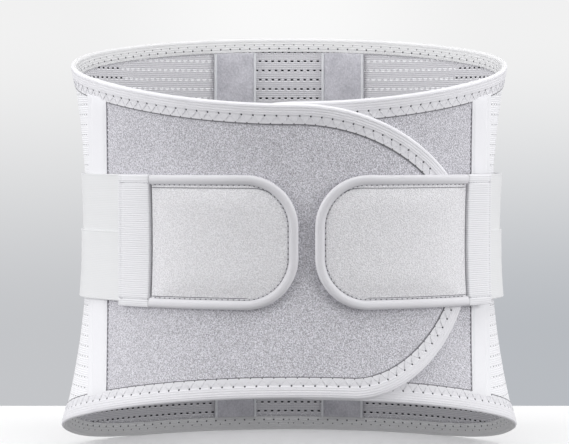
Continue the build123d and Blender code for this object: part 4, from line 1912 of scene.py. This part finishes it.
    def stitches(self) -> None:
        """The row of stitches in the groove inside the binding, with short dark tubes between them as painted shade of
        the needle holes.
        """
        share = np.array([0.0, 0.2, 0.5, 0.8, 1.0])
        bow = np.array([-0.0004, 0.00002, 0.00012, 0.00002, -0.0004])
        top = PLIES.pad - 0.0009
        lines, gaps = [], []
        count = int((self.outline.length - 0.002) / self.stitch)
        for n in range(count):
            run = 0.001 + (n + share * 0.62) * self.stitch
            lines.append(self.outline.place(run, self.binding_width + 0.00035, top + bow))
            # painted shade: short dark tubes in the gaps between stitches stand for the shade in the needle holes
            run = 0.001 + (n + 0.68 + share * 0.26) * self.stitch
            gaps.append(self.outline.place(run, self.binding_width + 0.00025, top - 0.0001 + bow * 0.4))
        piece = tubes(f"{self.side.word}_pad_stitches", lines, 0.00022, 5)
        settle(piece, self.body, [THREAD])
        piece = tubes(f"{self.side.word}_pad_needle_marks", gaps, 0.00030, 5)
        settle(piece, self.body, [DARK_THREAD_AND_HOLE_SHADE])
        straight = float(self.track.across_front(self.shape.end + self.corner, 0.0)) - self.root
        top = np.arange(0.001, straight + 0.022, 0.0012)
        low = self.outline.length - np.arange(0.001, straight + 0.004, 0.0012)
        closing = 0.0019 * smooth_step((top - straight) / 0.022)
        seams = [
            self.outline.place(top, self.seam_line - closing, PLIES.pad - 0.0008),
            self.outline.place(low, self.seam_line - 0.0008, PLIES.pad - 0.0009),
        ]
        piece = tubes(f"{self.side.word}_pad_inner_seam", seams, 0.00022, 6)
        settle(piece, self.body, [DARK_THREAD_AND_HOLE_SHADE])

    def hook_face(self) -> None:
        """The hook cloth on the pad's inner face."""
        inset = self.binding_width + 0.0002
        s, z, distance = self.body_grid(inset, 0.0025, 0.0008)
        fall = 0.0003 * (1 - smooth_step((distance - inset) / 0.001))
        outer = self.track.place(s, z, PLIES.binding + 0.0)
        inner = self.track.place(s, z, 0.00005 + fall)
        piece = slab(f"{self.side.word}_pad_hook_face", outer, inner, np.stack([s, z], -1))
        settle(piece, self.body, [HOOK, HOOK], [f"{self.side.word}_pad_hook"])


@dataclass
class Swell:
    """A short cloth simulation that puffs a closed pad, with its seam held and its travel capped."""

    cap: float
    pressure: float = 2.5
    frames: int = 12
    hold_within: float = 0.008

    def run(self, piece: bpy.types.Object, distance: Array) -> None:
        """Swell the piece and keep the result as its mesh.

        Args:
            piece: The pad, closed and in place.
            distance: Distance of each point from the pad's seam.
        """
        mesh = piece.data
        rest = np.zeros(len(mesh.vertices) * 3)
        mesh.vertices.foreach_get("co", rest)
        rest = rest.reshape(-1, 3)
        held = piece.vertex_groups.new(name="held")
        for index, d in enumerate(distance):
            weight = float(1 - smooth_step(np.array((d - self.hold_within) / 0.006)))
            if weight > 0:
                held.add([index], weight, "REPLACE")
        big = 20.0
        mesh.vertices.foreach_set("co", (rest * big).ravel())
        mesh.update()
        modifier = piece.modifiers.new("Swell", "CLOTH")
        settings = modifier.settings
        settings.quality = 5
        settings.use_pressure = True
        settings.uniform_pressure_force = self.pressure
        settings.tension_stiffness = settings.compression_stiffness = 18
        settings.bending_stiffness = 2.0
        settings.vertex_group_mass = "held"
        settings.effector_weights.gravity = 0
        modifier.point_cache.frame_start, modifier.point_cache.frame_end = 1, self.frames
        scene = bpy.context.scene
        for frame_number in range(1, self.frames + 1):
            scene.frame_set(frame_number)
        swelled = piece.evaluated_get(bpy.context.evaluated_depsgraph_get())
        moved = np.zeros(len(mesh.vertices) * 3)
        swelled.data.vertices.foreach_get("co", moved)
        moved = moved.reshape(-1, 3) / big
        piece.modifiers.remove(modifier)
        scene.frame_set(1)
        step = moved - rest
        length = np.linalg.norm(step, axis=1, keepdims=True)
        length = np.where(length > 1e-12, length, 1.0)
        capped = step / length * self.cap * np.tanh(length / self.cap)
        mesh.vertices.foreach_set("co", (rest + capped).ravel())
        mesh.update()
        piece.vertex_groups.clear()
        log.info("%s swelled by up to %.2f mm", piece.name, float(np.abs(capped).max()) * 1000)


# ---------------------------------------------------------------- the studio


@dataclass(frozen=True)
class PaintedBackdropLight(Finish):
    """A glowing backdrop with painted light: it fades from pale at the top to grey behind the table, with a painted
    pool of light at the top middle.
    """

    name: str = "studio_wall"

    def make(self) -> Shader:
        """Make the material."""
        out = Shader(self.name, Roughness=1.0, Specular_IOR_Level=0.0, Emission_Strength=1.0)
        out.surface.inputs["Base Color"].default_value = (0, 0, 0, 1)
        parts = out.node("ShaderNodeSeparateXYZ", {}, {0: out.place()})
        nearer = 2.6 / 8.5
        across = Wire(out, parts.outputs[0]) * nearer
        up = (Wire(out, parts.outputs[2]) - 0.06) * nearer + 0.06
        # painted light: the backdrop glows brighter high up than low down
        tone = up.ease(-0.16, 0.19)
        low = out.mix(across.ease(-0.3, 0.3), (0.55, 0.56, 0.58), (0.48, 0.50, 0.53))
        colour = out.mix(tone, low, (0.88, 0.88, 0.88))
        # painted light: a brighter pool at the top middle of the backdrop
        middle = across.size().ease(0.02, 0.24)
        colour = out.mix(up.ease(0.08, 0.2) * (1 - middle) * 0.8, colour, (0.97, 0.97, 0.97))
        out.links.new(colour, out.surface.inputs["Emission Color"])
        return out


@dataclass(frozen=True)
class TableTop(Finish):
    """A plain pale matt table."""

    name: str = "table"

    def make(self) -> Shader:
        """Make the material."""
        out = Shader(self.name, Roughness=0.6, Specular_IOR_Level=0.1)
        grain = out.noise(300, 2.0, 0.5)
        out.colour(out.mix(grain, (0.96, 0.96, 0.96), (0.98, 0.98, 0.98)))
        out.rough(0.6 + grain * 0.1)
        return out


@dataclass
class Studio:
    """The table, the wall behind it, the lights and the camera."""

    eye: Point = (-0.0030, -1.5, 0.060)
    aim: Point = (-0.0030, 0.0, 0.0092)
    lens: float = 146.5
    table_back: float = 0.26
    table_front: float = -4.0
    wall_radius: float = 7.0

    def build(self) -> None:
        """Build everything that isn't part of the brace."""
        self.table()
        self.wall()
        self.lights()
        self.camera()
        scene = bpy.context.scene
        scene.view_settings.view_transform = "Standard"
        scene.view_settings.look = "None"

    def plane(self, name: str, corners: Sequence[Point], finish: Finish) -> bpy.types.Object:
        """One flat stage surface."""
        mesh = bpy.data.meshes.new(name)
        mesh.from_pydata(list(corners), [], [(0, 1, 2, 3)])
        made = bpy.data.objects.new(name, mesh)
        bpy.context.scene.collection.objects.link(made)
        mesh.materials.append(finish.material())
        return made

    def table(self) -> None:
        """The table, which ends behind the brace and throws no light back on it."""
        z = CAD_BOX[0][2] - 0.0001
        far, near = self.table_back, self.table_front
        top = self.plane("table_top", [(-4, near, z), (4, near, z), (4, far, z), (-4, far, z)], TableTop())
        edge = self.plane("table_edge", [(-4, far, z), (4, far, z), (4, far, z - 0.4), (-4, far, z - 0.4)], TableTop())
        top.visible_diffuse = edge.visible_diffuse = False

    def wall(self) -> None:
        """A round wall, seen by the camera alone so that it doesn't tint the cloth."""
        turn = np.linspace(0, 2 * math.pi, 96, endpoint=False)
        ring = self.wall_radius * np.stack([np.sin(turn), np.cos(turn)], -1)
        low, high = (np.column_stack([ring, np.full(96, z)]) for z in (-self.wall_radius, self.wall_radius))
        faces = [(i, (i + 1) % 96, 96 + (i + 1) % 96, 96 + i) for i in range(96)]
        mesh = bpy.data.meshes.new("wall")
        mesh.from_pydata(np.concatenate([low, high]).tolist(), [], faces)
        mesh.materials.append(PaintedBackdropLight().material())
        made = bpy.data.objects.new("wall", mesh)
        bpy.context.scene.collection.objects.link(made)
        made.visible_diffuse = False
        made.visible_glossy = False
        made.visible_shadow = False

    def lamp(self, name: str, where: Point, aim: Point, size: tuple[float, float], power: float) -> None:
        """One soft rectangular lamp.

        Args:
            name: Its name.
            where: Its place.
            aim: The point that it faces.
            size: Its width and height.
            power: Its power in watts.
        """
        data = bpy.data.lights.new(name, "AREA")
        data.shape = "RECTANGLE"
        data.size, data.size_y = size
        data.energy = power
        lamp = bpy.data.objects.new(name, data)
        bpy.context.scene.collection.objects.link(lamp)
        lamp.location = where
        way = np.array(aim) - np.array(where)
        lamp.rotation_euler = Vector(way.tolist()).to_track_quat("-Z", "Y").to_euler()

    def lights(self) -> None:
        """A broad lamp above, a soft one from each front corner, and an even surround."""
        world = bpy.data.worlds.new("studio_air")
        bpy.context.scene.world = world
        world.use_nodes = True
        shade = world.node_tree.nodes["Background"]
        shade.inputs["Color"].default_value = (0.985, 0.985, 1.0, 1)
        shade.inputs["Strength"].default_value = 0.40
        self.lamp("overhead", (0, -0.25, 1.15), (0, -0.05, 0), (1.8, 1.2), 14.5)
        self.lamp("left", (-1.5, -0.55, 0.35), (0, 0, 0), (0.9, 0.9), 17.0)
        self.lamp("right", (1.5, -0.50, 0.30), (0, 0, 0), (0.9, 0.9), 15.5)

    def camera(self) -> None:
        """The camera, level with the upper part of the brace."""
        data = bpy.data.cameras.new("camera")
        data.lens = self.lens
        data.sensor_width = 36
        data.clip_start, data.clip_end = 0.05, 30
        made = bpy.data.objects.new("camera", data)
        bpy.context.scene.collection.objects.link(made)
        made.location = self.eye
        way = np.array(self.aim) - np.array(self.eye)
        made.rotation_euler = Vector(way.tolist()).to_track_quat("-Z", "Y").to_euler()
        bpy.context.scene.camera = made


def main() -> None:
    """Build the brace piece by piece, then the studio round it."""
    logging.basicConfig(level=logging.INFO, format="%(name)s %(message)s", force=True)
    Studio().build()
    log.info("studio built")
    Back().build()
    log.info("back built")
    for side in Side:
        FrontHalf(side).build()
        log.info("%s front half built", side.word)
        Strap(side).build()
        log.info("%s strap built", side.word)
        Pad(side).build()
        log.info("%s pad built", side.word)


if __name__ == "__main__":
    main()
